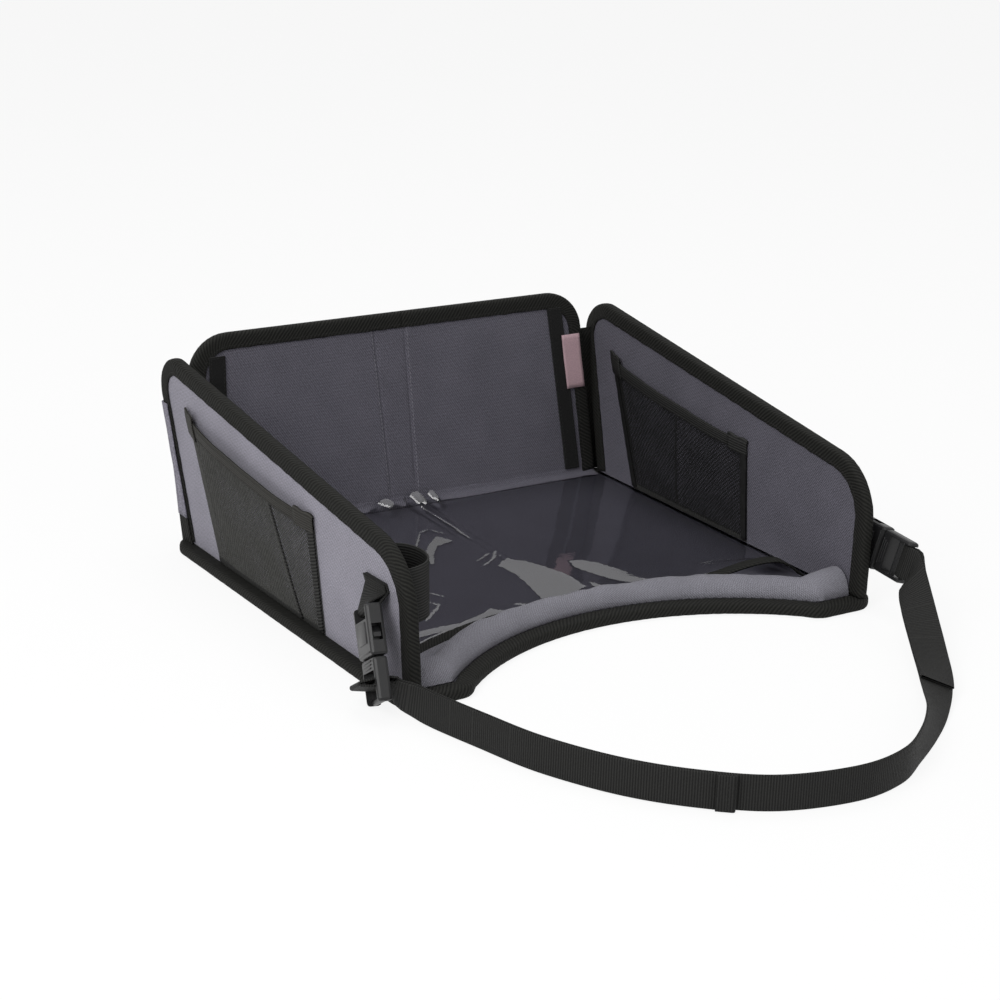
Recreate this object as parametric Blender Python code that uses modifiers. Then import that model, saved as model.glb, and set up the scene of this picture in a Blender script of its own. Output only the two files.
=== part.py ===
"""Fold-flat tray table for a child's car seat.

Fabric panels, each a stiff board between two covers and bound with tape, make a floor in two
halves, a back wall in two halves and two side walls. A clear sheet covers the floor, a padded
strip follows the belly cut-out, and a waist strap clips to both sides with release buckles.

Metres, +Z up. The origin lies under the middle of the floor. The child sits at -Y, the back
wall stands at +Y and the right side wall at +X.
"""
import math

import bmesh
import bpy
from mathutils import Matrix, Vector

MM = 0.001

# Whole tray
TRAY_WIDTH = 350 * MM
TRAY_DEPTH = 305 * MM
WALL_HEIGHT = 125 * MM
FRONT_DROP = 41 * MM
HORN_WIDTH = 44 * MM
CUT_DEPTH = 54 * MM
FIT = 0.3 * MM

# Panels
COVER = 0.8 * MM
BOARD = 2.8 * MM
BOARD_INSET = 3 * MM
SEAM_STRIP = 11 * MM
TAPE = 0.9 * MM
TAPE_FLAP = 9 * MM
TAPE_NOSE = 0.7 * MM
FLOOR_CORNER = 13 * MM
HORN_CORNER = 13 * MM

# Side walls
WALL_REVEAL = 7 * MM
FRONT_REVEAL = 2 * MM
WALL_FRONT_CORNER = 38 * MM
WALL_BACK_CORNER = 13 * MM
WALL_FOLD_RISE = 1 * MM
LEFT_WALL_LEAN = math.radians(4)
RIGHT_WALL_LEAN = math.radians(0.5)

# Back wall
BACK_HEIGHT = 134 * MM
BACK_TAPER = 10 * MM
BACK_LEAN = math.radians(5)
BACK_REVEAL = 1 * MM
BACK_CORNER = 27 * MM
BACK_END_GAP = 0.6 * MM
BACK_FOLD_SETBACK = 0.9 * MM
BACK_FOLD_RISE = 10.5 * MM
WALL_GAP = 0.6 * MM

# Clear sheet and padded strip
CLEAR = 0.5 * MM
SHEET_TAPE_WIDTH = 8 * MM
PAD_WIDTH = 34 * MM
PAD_END_WIDTH = 45 * MM
PAD_CROWN = 9 * MM
PAD_EDGE = 2.4 * MM
PAD_END_TUCK = 14 * MM
PAD_END_SHARE = 0.45
PAD_ROUND_SHARE = 2.2

# Mesh pockets
POCKET_BACK_MARGIN = 16 * MM
LEFT_POCKET_FRONT_MARGIN = 110 * MM
RIGHT_POCKET_FRONT_MARGIN = 123 * MM
POCKET_TAPER = 30 * MM
POCKET_FRONT_TAPER = 6 * MM
POCKET_DROP = 28 * MM
POCKET_FRONT_DROP = 23 * MM
POCKET_FOOT = 6 * MM
POCKET_BULGE = 8 * MM
POCKET_FLAT_SHARE = 4
POCKET_MOUTH_SHARE = 0.7
HEM_WIDTH = 10 * MM
HEM = 1.4 * MM
NET_STRAND = 0.9 * MM
NET_COLUMN_COUNT = 9
NET_ROW_COUNT = 6

# Cup loop
LOOP_LENGTH = 42 * MM
LOOP_BULGE = 24 * MM
LOOP_HEIGHT = 34 * MM
LOOP_FRONT_MARGIN = 17 * MM
LOOP_FOOT_HEIGHT = 36 * MM
LOOP_SEWN = 7 * MM
LOOP_ROUND_SHARE = 0.6
ELASTIC = 1.5 * MM

# Corner tabs
TAB_SIDE_REACH = 10 * MM
TAB_BACK_REACH = 26 * MM
TAB_FOOT = 12 * MM
TAB_HEIGHT = 84 * MM
TAB_CURVE = 9 * MM
TAB_CLOTH = 1.3 * MM

# Closure strips and bare tag on the back wall
CLOSURE_WIDTH = 11 * MM
CLOSURE_TOP_MARGIN = 21 * MM
CLOSURE = 1.5 * MM
CLOSURE_SLANT = 9 * MM
CLOSURE_END_MARGIN = 14.5 * MM
TAG_WIDTH = 16 * MM
TAG_HEIGHT = 39 * MM
TAG_CLOTH = 0.5 * MM
TAG_DROP = 26 * MM
TAG_END_MARGIN = 6 * MM

# Webbing and release buckles
WEBBING_WIDTH = 21 * MM
WEBBING = 1.4 * MM
PLY_GAP = 0.5 * MM
TAB_WEBBING = 1.2 * MM
SLOT_PLAY = 1.4 * MM
BAR_RADIUS = 1.75 * MM
SOCKET_WIDTH = 29 * MM
SOCKET_DEPTH = 10 * MM
SOCKET_LENGTH = 28 * MM
HEAD_SLOT = 5 * MM
CAVITY_WIDTH = 24 * MM
CAVITY_DEPTH = 6 * MM
CAVITY_START = 8.5 * MM
WINDOW_START = 10 * MM
WINDOW_END = 19.5 * MM
BUCKLE_ROUND = 1.8 * MM
PLUG_WIDTH = 27.5 * MM
PLUG_DEPTH = 8.4 * MM
PLUG_BLOCK = 7.5 * MM
PLUG_LENGTH = 25.6 * MM
GUIDE_WIDTH = 6 * MM
GUIDE_START = 13 * MM
PRONG_DEPTH = 4.4 * MM
PRONG_INNER = 7 * MM
PRONG_WIDTH = 2.5 * MM
PRONG_BARB = 13.4 * MM
PRONG_SHOULDER = 17.5 * MM
PRONG_TIP = 10.8 * MM
OVERRUN = 2 * MM
PIVOT_SIZE = 10 * MM

# Where the buckles hang
LEFT_BAR_HEIGHT = 54 * MM
LEFT_BAR_STANDOFF = 15 * MM
LEFT_BAR_SETBACK = 28 * MM
LEFT_BUCKLE_LEAN = math.radians(30)
LEFT_BUCKLE_TURN = math.radians(13)
RIGHT_BAR_HEIGHT = 40 * MM
RIGHT_BAR_STANDOFF = 12 * MM
RIGHT_BAR_SETBACK = 27 * MM
RIGHT_BUCKLE_TURN = math.radians(-4)
RIGHT_BUCKLE_DIP = math.radians(2)
RIGHT_BUCKLE_ROLL = math.radians(16)
TAB_RISE = 24 * MM
TAB_SEWN = 7 * MM

# Waist strap
STRAP_REACH = 212 * MM
STRAP_STEP = 7 * MM
LEFT_TAIL = 320 * MM
RIGHT_TAIL = 130 * MM
LEFT_TAIL_POKE = 12 * MM
TAIL_FOLD = 9 * MM
OPENING_SHARE = 5

# Route of the strap between the buckles. Each row holds x in shares of the tray's half width,
# y in front of the floor's edge in shares of the strap's reach, z in shares of half the
# webbing's width, then the direction of the webbing's upper edge.
STRAP_ROUTE_SHARES = [
    (-1.020, 0.010, 1.36, (-0.12, -0.45, 0.88)),
    (-0.995, 0.055, 1.18, (-0.03, -0.20, 0.98)),
    (-0.972, 0.120, 1.06, (0.0, 0.0, 1.0)),
    (-0.920, 0.280, 1.03, (0.0, 0.0, 1.0)),
    (-0.850, 0.480, 1.03, (0.0, 0.0, 1.0)),
    (-0.725, 0.680, 1.03, (0.0, 0.0, 1.0)),
    (-0.565, 0.835, 1.03, (0.0, 0.0, 1.0)),
    (-0.375, 0.950, 1.03, (0.0, 0.0, 1.0)),
    (-0.120, 1.000, 1.03, (0.0, 0.0, 1.0)),
    (0.080, 0.975, 1.03, (0.0, 0.0, 1.0)),
    (0.235, 0.900, 1.03, (0.0, 0.05, 1.0)),
    (0.385, 0.805, 1.02, (-0.25, 0.22, 0.94)),
    (0.515, 0.700, 0.95, (-0.60, 0.43, 0.67)),
    (0.650, 0.573, 0.92, (-0.80, 0.55, 0.25)),
    (0.780, 0.420, 1.25, (-0.86, 0.50, 0.0)),
    (0.890, 0.270, 2.20, (-0.84, 0.46, -0.25)),
    (0.960, 0.175, 3.10, (-0.66, 0.26, -0.70)),
]

# Worked out from the sizes above
HALF_WIDTH = TRAY_WIDTH / 2
HALF_DEPTH = TRAY_DEPTH / 2
CUT_HALF_WIDTH = HALF_WIDTH - HORN_WIDTH
PANEL = 2 * COVER + 2 * FIT + BOARD
BOUND = PANEL + 2 * (FIT + TAPE)
TAPE_OUT = TAPE + FIT + TAPE_NOSE / 2
FLOOR_TOP = BOUND
PANEL_TOP = (BOUND + PANEL) / 2
HALF_SEAM = FIT / 2
FLAP_END = TAPE_FLAP + FIT
WALL_X = HALF_WIDTH - WALL_REVEAL - BOUND / 2
WALL_INNER_X = WALL_X - BOUND / 2
WALL_FOOT = FLOOR_TOP + FIT + BOUND / 2 * math.sin(LEFT_WALL_LEAN)
WALL_FOLD_Z = FLOOR_TOP + FIT + WALL_FOLD_RISE
BACK_OUTER_Y = HALF_DEPTH - BACK_REVEAL
BACK_INNER_Y = BACK_OUTER_Y - BOUND
SIDE_BACK_Y = BACK_INNER_Y - WALL_GAP
SIDE_FRONT_Y = -HALF_DEPTH + FRONT_REVEAL
CUT_RADIUS = (CUT_HALF_WIDTH**2 + CUT_DEPTH**2) / (2 * CUT_DEPTH)
CUT_CENTRE_Y = -HALF_DEPTH + CUT_DEPTH - CUT_RADIUS
BACK_HALF_WIDTH = WALL_INNER_X - BACK_END_GAP
BACK_FOLD_Y = BACK_INNER_Y + BACK_FOLD_SETBACK
BACK_FOLD_Z = FLOOR_TOP + FIT + BACK_FOLD_RISE


def material(name, colour, roughness):
    made = bpy.data.materials.new(name)
    made.use_nodes = True
    shader = made.node_tree.nodes["Principled BSDF"]
    shader.inputs["Base Color"].default_value = (*colour, 1)
    shader.inputs["Roughness"].default_value = roughness
    return made


def collection(name):
    made = bpy.data.collections.new(name)
    bpy.context.scene.collection.children.link(made)
    return made


for old in list(bpy.data.objects):
    bpy.data.objects.remove(old, do_unlink=True)
TRAY = collection("travel_tray_table")
CUTTERS = collection("cutters")
COLOURS = {
    "grey_fabric": ((0.17, 0.16, 0.21), 0.85),
    "board": ((0.55, 0.5, 0.42), 0.8),
    "black_tape": ((0.02, 0.02, 0.018), 0.8),
    "black_net": ((0.015, 0.015, 0.015), 0.8),
    "black_elastic": ((0.012, 0.012, 0.012), 0.75),
    "clear_vinyl": ((0.75, 0.77, 0.8), 0.08),
    "tab_cloth": ((0.3, 0.29, 0.34), 0.95),
    "closure": ((0.01, 0.01, 0.01), 0.95),
    "pink_tag": ((0.4, 0.27, 0.3), 0.7),
    "webbing": ((0.015, 0.015, 0.015), 0.7),
    "buckle_plastic": ((0.02, 0.02, 0.02), 0.45),
}


def finish(made, slot):
    """Put a piece in the tray with a material of its own."""
    colour, roughness = COLOURS[slot]
    made.data.materials.append(material(made.name, colour, roughness))
    TRAY.objects.link(made)
    return made


# Outlines

def rounded(corners, step=math.radians(18)):
    """A path through (x, y, radius) corners, its ends square and its corners arcs."""
    points = []
    last = len(corners) - 1
    for i, (x, y, radius) in enumerate(corners):
        here = Vector((x, y))
        if i in (0, last) or radius == 0:
            points.append(here)
            continue
        back = (Vector(corners[i - 1][:2]) - here).normalized()
        ahead = (Vector(corners[i + 1][:2]) - here).normalized()
        half = back.angle(ahead) / 2
        turn = math.pi - 2 * half
        centre = here + (back + ahead).normalized() * (radius / math.sin(half))
        start = here + back * (radius / math.tan(half)) - centre
        sign = 1 if back.x * ahead.y - back.y * ahead.x < 0 else -1
        count = max(2, math.ceil(turn / step))
        for k in range(count + 1):
            arm = start.copy()
            arm.rotate(Matrix.Rotation(sign * turn * k / count, 2))
            points.append(centre + arm)
    return points


def flipped(path):
    """The same path on the other side of the tray, still running anticlockwise."""
    return [Vector((-p.x, p.y)) for p in reversed(path)]


def shifted(path, distance, closed):
    """The path moved to its left, with mitred corners."""
    moved = []
    count = len(path)
    for i, here in enumerate(path):
        before = path[i - 1] if i or closed else None
        after = path[(i + 1) % count] if i < count - 1 or closed else None
        runs = []
        if before is not None:
            runs.append((here - before).normalized())
        if after is not None:
            runs.append((after - here).normalized())
        normals = [Vector((-r.y, r.x)) for r in runs]
        middle = sum(normals, Vector((0, 0))).normalized()
        moved.append(here + middle * (distance / middle.dot(normals[0])))
    return moved


def arc_points(radius, centre_y, x_from, x_to, count):
    """Points of a circle about (0, centre_y), between two x values."""
    points = []
    for k in range(count + 1):
        x = x_from + (x_to - x_from) * k / count
        points.append((x, centre_y + math.sqrt(radius**2 - x**2)))
    return points


# Solids

def plate(name, slot, outline, frame, thickness, lift=0.0):
    """A flat sheet: the outline filled and extruded evenly about the frame's plane."""
    curve = bpy.data.curves.new(name, "CURVE")
    curve.dimensions = "2D"
    curve.fill_mode = "BOTH"
    curve.extrude = thickness / 2
    curve.render_resolution_u = 0
    spline = curve.splines.new("POLY")
    spline.points.add(len(outline) - 1)
    for point, (x, y) in zip(spline.points, outline):
        point.co = (x, y, 0, 1)
    spline.use_cyclic_u = True
    made = bpy.data.objects.new(name, curve)
    made.matrix_world = frame @ Matrix.Translation((0, 0, lift))
    return finish(made, slot)


def web(name, slot, rails, thickness):
    """A band of cloth: an open surface between rails of points, thickened evenly."""
    mesh = bpy.data.meshes.new(name)
    shape = bmesh.new()
    grid = [[shape.verts.new(p) for p in rail] for rail in rails]
    for low, high in zip(grid, grid[1:]):
        for i in range(len(low) - 1):
            shape.faces.new((low[i], low[i + 1], high[i + 1], high[i]))
    shape.to_mesh(mesh)
    shape.free()
    made = bpy.data.objects.new(name, mesh)
    solid = made.modifiers.new("cloth thickness", "SOLIDIFY")
    solid.thickness = thickness
    solid.offset = 0
    return finish(made, slot)


def binding(name, path, frame):
    """Tape folded over a panel's edge: two flaps and a rounded nose, swept along the path."""
    face = PANEL / 2 + FIT + TAPE / 2
    nose = FIT + TAPE / 2 + TAPE_NOSE / 2
    section = [
        (TAPE_FLAP, face),
        (-FIT, face),
        (-nose, face - TAPE_NOSE),
        (-nose, TAPE_NOSE - face),
        (-FIT, -face),
        (TAPE_FLAP, -face),
    ]
    rails = []
    for inward, height in section:
        moved = shifted(path, inward, False)
        rails.append([frame @ Vector((p.x, p.y, height)) for p in moved])
    return web(name, "black_tape", rails, TAPE)


def block(shape, size, centre):
    """A box added to a bmesh, with its size along x, y and z."""
    place = Matrix.Translation(centre) @ Matrix.Diagonal((*size, 1))
    bmesh.ops.create_cube(shape, size=1, matrix=place)


def boxes(name, frame, parts, home):
    """An object of separate boxes, in the given collection."""
    mesh = bpy.data.meshes.new(name)
    shape = bmesh.new()
    for size, centre in parts:
        block(shape, size, centre)
    shape.to_mesh(mesh)
    shape.free()
    made = bpy.data.objects.new(name, mesh)
    made.matrix_world = frame
    if home is CUTTERS:
        made.hide_render = True
        made.display_type = "WIRE"
        CUTTERS.objects.link(made)
    return made


def bars(name, frame, length, places):
    """Round bars along the frame's x axis, kept with the cutters to be joined to a body."""
    mesh = bpy.data.meshes.new(name)
    shape = bmesh.new()
    lay = Matrix.Rotation(math.pi / 2, 4, "Y")
    for place in places:
        bmesh.ops.create_cone(
            shape,
            cap_ends=True,
            segments=10,
            radius1=BAR_RADIUS,
            radius2=BAR_RADIUS,
            depth=length,
            matrix=Matrix.Translation((0, 0, place)) @ lay,
        )
    shape.to_mesh(mesh)
    shape.free()
    made = bpy.data.objects.new(name, mesh)
    made.matrix_world = frame
    made.hide_render = True
    made.display_type = "WIRE"
    CUTTERS.objects.link(made)
    return made


def boolean(made, other, operation):
    step = made.modifiers.new(other.name, "BOOLEAN")
    step.operation = operation
    step.object = other
    step.solver = "EXACT"


def rounding(made, width):
    bevel = made.modifiers.new("rounded edges", "BEVEL")
    bevel.width = width
    bevel.segments = 2
    bevel.limit_method = "ANGLE"


# Panels of the tray

def frame_of(x_axis, y_axis, origin):
    """A matrix whose columns are the given axes and their normal."""
    x = Vector(x_axis).normalized()
    z = x.cross(Vector(y_axis)).normalized()
    y = z.cross(x)
    return Matrix.Translation(origin) @ Matrix((x, y, z)).transposed().to_4x4()


def under_cover(name, path, frame, lift):
    """The floor's lower cover: flat under the tape's flap, and level with it further in."""
    sign = 1 if name.endswith("right") else -1
    inner = shifted(path, FLAP_END, False)
    for point in (inner[0], inner[-1]):
        point.x = sign * FIT
    low = lift - COVER / 2
    mesh = bpy.data.meshes.new(name)
    shape = bmesh.new()
    rings = []
    for line, height in ((path, low + COVER), (path, low), (inner, low), (inner, -BOUND / 2)):
        rings.append([shape.verts.new((p.x, p.y, height)) for p in line])
    for one, two in zip(rings, rings[1:]):
        for i in range(len(one)):
            k = (i + 1) % len(one)
            shape.faces.new((one[i], one[k], two[k], two[i]))
    shape.faces.new(rings[0])
    shape.faces.new(rings[-1])
    bmesh.ops.recalc_face_normals(shape, faces=shape.faces)
    shape.to_mesh(mesh)
    shape.free()
    made = bpy.data.objects.new(name, mesh)
    made.matrix_world = frame
    finish(made, "grey_fabric")


def panel(stem, side, outline, tape_path, seam, frame):
    """Covers, board and binding of one panel. The frame's z points to its inner face."""
    cover_lift = (PANEL - COVER) / 2
    board = shifted(outline, BOARD_INSET, True)
    if seam:
        reach = SEAM_STRIP
        sign = 1 if side == "right" else -1
        board = [Vector((sign * max(sign * p.x, reach), p.y)) for p in board]
    plate(f"{stem}_board_{side}", "board", board, frame, BOARD)
    plate(f"{stem}_inner_cover_{side}", "grey_fabric", outline, frame, COVER, cover_lift)
    if stem == "floor":
        under_cover(f"{stem}_outer_cover_{side}", outline, frame, -cover_lift)
    else:
        plate(f"{stem}_outer_cover_{side}", "grey_fabric", outline, frame, COVER, -cover_lift)
    binding(f"{stem}_binding_{side}", tape_path, frame)


def floor_path():
    """Edge of the floor's right half, from the belly cut-out round to the back seam."""
    edge_x = HALF_WIDTH - TAPE_OUT
    edge_y = HALF_DEPTH - TAPE_OUT
    arc = arc_points(
        CUT_RADIUS + TAPE_OUT, CUT_CENTRE_Y, HALF_SEAM, CUT_HALF_WIDTH - TAPE_OUT, 7
    )
    corners = [(x, y, 0) for x, y in arc[:-1]]
    corners.append((arc[-1][0], -edge_y, HORN_CORNER))
    corners.append((edge_x, -edge_y, FLOOR_CORNER))
    corners.append((edge_x, edge_y, FLOOR_CORNER))
    corners.append((HALF_SEAM, edge_y, 0))
    return rounded(corners)


def floor(side):
    path = floor_path() if side == "right" else flipped(floor_path())
    frame = Matrix.Translation((0, 0, BOUND / 2))
    panel("floor", side, path, path, True, frame)


def back_frame():
    up = (0, math.sin(BACK_LEAN), math.cos(BACK_LEAN))
    middle_y = BACK_INNER_Y + BOUND / 2 / math.cos(BACK_LEAN)
    return frame_of((1, 0, 0), up, (0, middle_y, WALL_FOOT))


def back_wall(side):
    top = (BACK_HEIGHT - FIT) / math.cos(BACK_LEAN) - TAPE_OUT
    end = BACK_HALF_WIDTH - TAPE_OUT
    foot = BOUND * math.tan(BACK_LEAN) + FLAP_END * BACK_TAPER / BACK_HEIGHT
    corners = [
        (end, foot, 0),
        (end - BACK_TAPER, top, BACK_CORNER),
        (HALF_SEAM, top, 0),
    ]
    path = rounded(corners)
    outline = [Vector((HALF_SEAM, foot))] + path
    if side == "left":
        path = flipped(path)
        outline = flipped(outline)
    panel("back", side, outline, path, True, back_frame())


def side_frame(side):
    """A side wall's plane: y up the wall from its foot, z towards the tray's inside."""
    if side == "left":
        up = (-math.sin(LEFT_WALL_LEAN), 0, math.cos(LEFT_WALL_LEAN))
        return frame_of((0, 1, 0), up, (-WALL_X, 0, WALL_FOOT))
    up = (math.sin(RIGHT_WALL_LEAN), 0, math.cos(RIGHT_WALL_LEAN))
    return frame_of((0, -1, 0), up, (WALL_X, 0, WALL_FOOT))


def on_side(side, y, height, inward):
    """A point beside a side wall's mid-plane."""
    along = y if side == "left" else -y
    return side_frame(side) @ Vector((along, height, inward))


def wall_top_at(y):
    """Height of a side wall's straight top edge above its foot."""
    drop = FRONT_DROP * (SIDE_BACK_Y - y) / (SIDE_BACK_Y - SIDE_FRONT_Y)
    return WALL_HEIGHT - FIT - drop


def side_wall(side):
    back = SIDE_BACK_Y - TAPE_OUT
    front = SIDE_FRONT_Y + TAPE_OUT
    path = rounded(
        [
            (back, 0, 0),
            (back, wall_top_at(back) - TAPE_OUT, WALL_BACK_CORNER),
            (front, wall_top_at(front) - TAPE_OUT, WALL_FRONT_CORNER),
            (front, 0, 0),
        ]
    )
    if side == "right":
        path = flipped(path)
    panel("side", side, path, path, False, side_frame(side))


# Clear sheet and padded strip

def sheet_arc():
    """Radius and centre of the clear sheet's front edge."""
    half = WALL_INNER_X
    apex = -HALF_DEPTH + CUT_DEPTH + PAD_WIDTH
    end = -HALF_DEPTH + PAD_END_WIDTH
    sagitta = apex - end
    radius = (half**2 + sagitta**2) / (2 * sagitta)
    return radius, apex - radius


def clear_sheet(side):
    radius, centre_y = sheet_arc()
    edge_x = HALF_WIDTH - TAPE_OUT - FLAP_END
    edge_y = HALF_DEPTH - TAPE_OUT - FLAP_END
    front = arc_points(radius, centre_y, HALF_SEAM, edge_x, 8)
    corners = [(x, y, 0) for x, y in front]
    corners.append((edge_x, edge_y, FLOOR_CORNER - FLAP_END))
    corners.append((HALF_SEAM, edge_y, 0))
    outline = rounded(corners)
    tape_end = WALL_INNER_X - WALL_GAP
    band_out = arc_points(
        radius - SHEET_TAPE_WIDTH / 2, centre_y, HALF_SEAM, tape_end, 8
    )
    band_in = arc_points(
        radius + SHEET_TAPE_WIDTH / 2, centre_y, tape_end, HALF_SEAM, 8
    )
    band = [Vector(p) for p in band_out + band_in]
    if side == "left":
        outline = flipped(outline)
        band = flipped(band)
    level = PANEL_TOP + FIT + CLEAR / 2
    frame = Matrix.Translation((0, 0, level))
    plate(f"clear_sheet_{side}", "clear_vinyl", outline, frame, CLEAR)
    tape_lift = CLEAR / 2 + FIT + TAPE / 2
    plate(f"clear_sheet_tape_{side}", "black_tape", band, frame, TAPE, tape_lift)


def pad_section(x):
    """The padded strip's front and rear y at a distance x from the centre."""
    radius, centre_y = sheet_arc()
    rear_radius = radius - SHEET_TAPE_WIDTH / 2 - FIT
    rear = centre_y + math.sqrt(rear_radius**2 - x**2)
    inner_radius = CUT_RADIUS + TAPE_OUT + FLAP_END
    cut = CUT_CENTRE_Y + math.sqrt(inner_radius**2 - min(x, inner_radius) ** 2)
    front = max(cut, -HALF_DEPTH + TAPE_OUT + FLAP_END)
    corner = FLOOR_CORNER - FLAP_END
    corner_x = HALF_WIDTH - TAPE_OUT - FLOOR_CORNER
    if x > corner_x:
        front += corner - math.sqrt(corner**2 - (x - corner_x) ** 2)
    return front, rear


def pad(side):
    """A crowned strip of padding, lofted from the centre seam to the side wall."""
    sign = 1 if side == "right" else -1
    end = WALL_INNER_X - FIT - BACK_END_GAP
    stations = 13
    crown_steps = 8
    name = f"front_pad_{side}"
    mesh = bpy.data.meshes.new(name)
    shape = bmesh.new()
    rings = []
    for i in range(stations + 1):
        x = HALF_SEAM + (end - HALF_SEAM) * i / stations
        front, rear = pad_section(x)
        fullness = min(1, (end - x) / PAD_END_TUCK)
        swell = math.sqrt(fullness * (2 - fullness))
        crown = PAD_CROWN * (PAD_END_SHARE + (1 - PAD_END_SHARE) * swell)
        base = PANEL_TOP + FIT
        ring = [shape.verts.new((sign * x, front, base))]
        for k in range(crown_steps + 1):
            share = k / crown_steps
            rise = 1 - abs(2 * share - 1) ** PAD_ROUND_SHARE
            y = front + (rear - front) * share
            ring.append(shape.verts.new((sign * x, y, base + PAD_EDGE + crown * rise)))
        ring.append(shape.verts.new((sign * x, rear, base)))
        rings.append(ring)
    for one, two in zip(rings, rings[1:]):
        for k in range(len(one)):
            nxt = (k + 1) % len(one)
            shape.faces.new((one[k], one[nxt], two[nxt], two[k]))
    shape.faces.new(rings[0])
    shape.faces.new(rings[-1])
    bmesh.ops.recalc_face_normals(shape, faces=shape.faces)
    shape.to_mesh(mesh)
    shape.free()
    finish(bpy.data.objects.new(name, mesh), "grey_fabric")


# Pockets and elastic loop

def pocket_place(side, along, up, stand_off):
    """A point of the pocket: along runs back to front, up runs foot to hem, as shares."""
    if side == "left":
        margin = LEFT_POCKET_FRONT_MARGIN
        inward = -PANEL / 2 - stand_off
    else:
        margin = RIGHT_POCKET_FRONT_MARGIN
        inward = PANEL / 2 + stand_off
    back_top = SIDE_BACK_Y - POCKET_BACK_MARGIN
    front_top = SIDE_FRONT_Y + margin
    back = back_top - POCKET_TAPER * (1 - up)
    front = front_top - POCKET_FRONT_TAPER * (1 - up)
    y = back + (front - back) * along
    drop = POCKET_DROP + (POCKET_FRONT_DROP - POCKET_DROP) * along
    top = wall_top_at(back_top + (front_top - back_top) * along) - drop - HEM_WIDTH
    height = POCKET_FOOT + (top - POCKET_FOOT) * up
    return on_side(side, y, height, inward)


def pocket_bulge(along, up):
    """How far the pocket stands off the wall: flat at its sewn edges, open at the hem."""
    across = 1 - abs(2 * along - 1) ** POCKET_FLAT_SHARE
    return POCKET_BULGE * across * min(1, up) ** POCKET_MOUTH_SHARE


def pocket(side):
    name = f"{side}_pocket_net"
    mesh = bpy.data.meshes.new(name)
    shape = bmesh.new()
    bmesh.ops.create_grid(
        shape, x_segments=NET_COLUMN_COUNT, y_segments=NET_ROW_COUNT, size=0.5
    )
    straight = list(shape.edges)
    inner = [e for e in straight if len(e.link_faces) == 2]
    bmesh.ops.poke(shape, faces=shape.faces)
    bmesh.ops.dissolve_edges(shape, edges=inner, use_verts=False)
    for vert in shape.verts:
        along = vert.co.x + 0.5
        up = vert.co.y + 0.5
        off = FIT + NET_STRAND / 2 + pocket_bulge(along, up)
        vert.co = pocket_place(side, along, up, off)
    shape.to_mesh(mesh)
    shape.free()
    net = bpy.data.objects.new(name, mesh)
    wires = net.modifiers.new("net strands", "WIREFRAME")
    wires.thickness = NET_STRAND
    wires.use_even_offset = True
    wires.use_boundary = True
    wires.use_replace = True
    finish(net, "black_net")
    steps = 18
    lower = []
    upper = []
    rise = HEM_WIDTH / (WALL_HEIGHT - POCKET_DROP - HEM_WIDTH - POCKET_FOOT)
    start = NET_STRAND / (WALL_HEIGHT - POCKET_DROP - HEM_WIDTH - POCKET_FOOT)
    for k in range(steps + 1):
        along = k / steps
        off = FIT + HEM / 2 + pocket_bulge(along, 1)
        lower.append(pocket_place(side, along, 1 + start, off))
        upper.append(pocket_place(side, along, 1 + start + rise, off))
    web(f"{side}_pocket_hem", "black_elastic", [lower, upper], HEM)


def cup_loop():
    """An elastic band sewn down at both ends, standing off the left wall's inner face."""
    sewn = PANEL / 2 + FIT + ELASTIC / 2
    bound = BOUND / 2 + FIT + ELASTIC / 2
    front = SIDE_FRONT_Y + LOOP_FRONT_MARGIN
    rear = front + LOOP_LENGTH
    path = [(bound, front - LOOP_SEWN), (bound, front)]
    steps = 10
    for k in range(1, steps):
        turn = math.pi * k / steps
        depth = math.sin(turn) ** LOOP_ROUND_SHARE
        y = (front + rear) / 2 - math.cos(turn) * LOOP_LENGTH / 2
        path.append((sewn + LOOP_BULGE * depth, y))
    path += [(sewn, rear), (sewn, rear + LOOP_SEWN)]
    top = LOOP_FOOT_HEIGHT + LOOP_HEIGHT
    lower = [on_side("left", y, LOOP_FOOT_HEIGHT, inward) for inward, y in path]
    upper = [on_side("left", y, top, inward) for inward, y in path]
    web("cup_loop", "black_elastic", [lower, upper], ELASTIC)


# Small pieces of cloth

def corner_tab(side):
    """Cloth that wraps round a back corner, from the side wall to the back wall's outside."""
    sign = 1 if side == "right" else -1
    outward = -BOUND / 2 - FIT - TAB_CLOTH / 2
    start_y = SIDE_BACK_Y - TAB_SIDE_REACH
    rails = []
    for height in (TAB_FOOT, TAB_FOOT + TAB_HEIGHT):
        z = WALL_FOOT + height
        side_x = abs(on_side(side, start_y, height, outward).x)
        back_y = BACK_OUTER_Y + height * math.tan(BACK_LEAN) + FIT + TAB_CLOTH / 2
        turn_y = back_y - TAB_CURVE
        points = [(side_x, start_y), (side_x, SIDE_BACK_Y)]
        steps = 5
        for k in range(steps + 1):
            turn = math.pi / 2 * k / steps
            x = side_x - TAB_CURVE * (1 - math.cos(turn))
            points.append((x, turn_y + TAB_CURVE * math.sin(turn)))
        points.append((BACK_HALF_WIDTH - TAB_BACK_REACH, back_y))
        rails.append([Vector((sign * x, y, z)) for x, y in points])
    web(f"corner_tab_{side}", "tab_cloth", rails, TAB_CLOTH)


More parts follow.
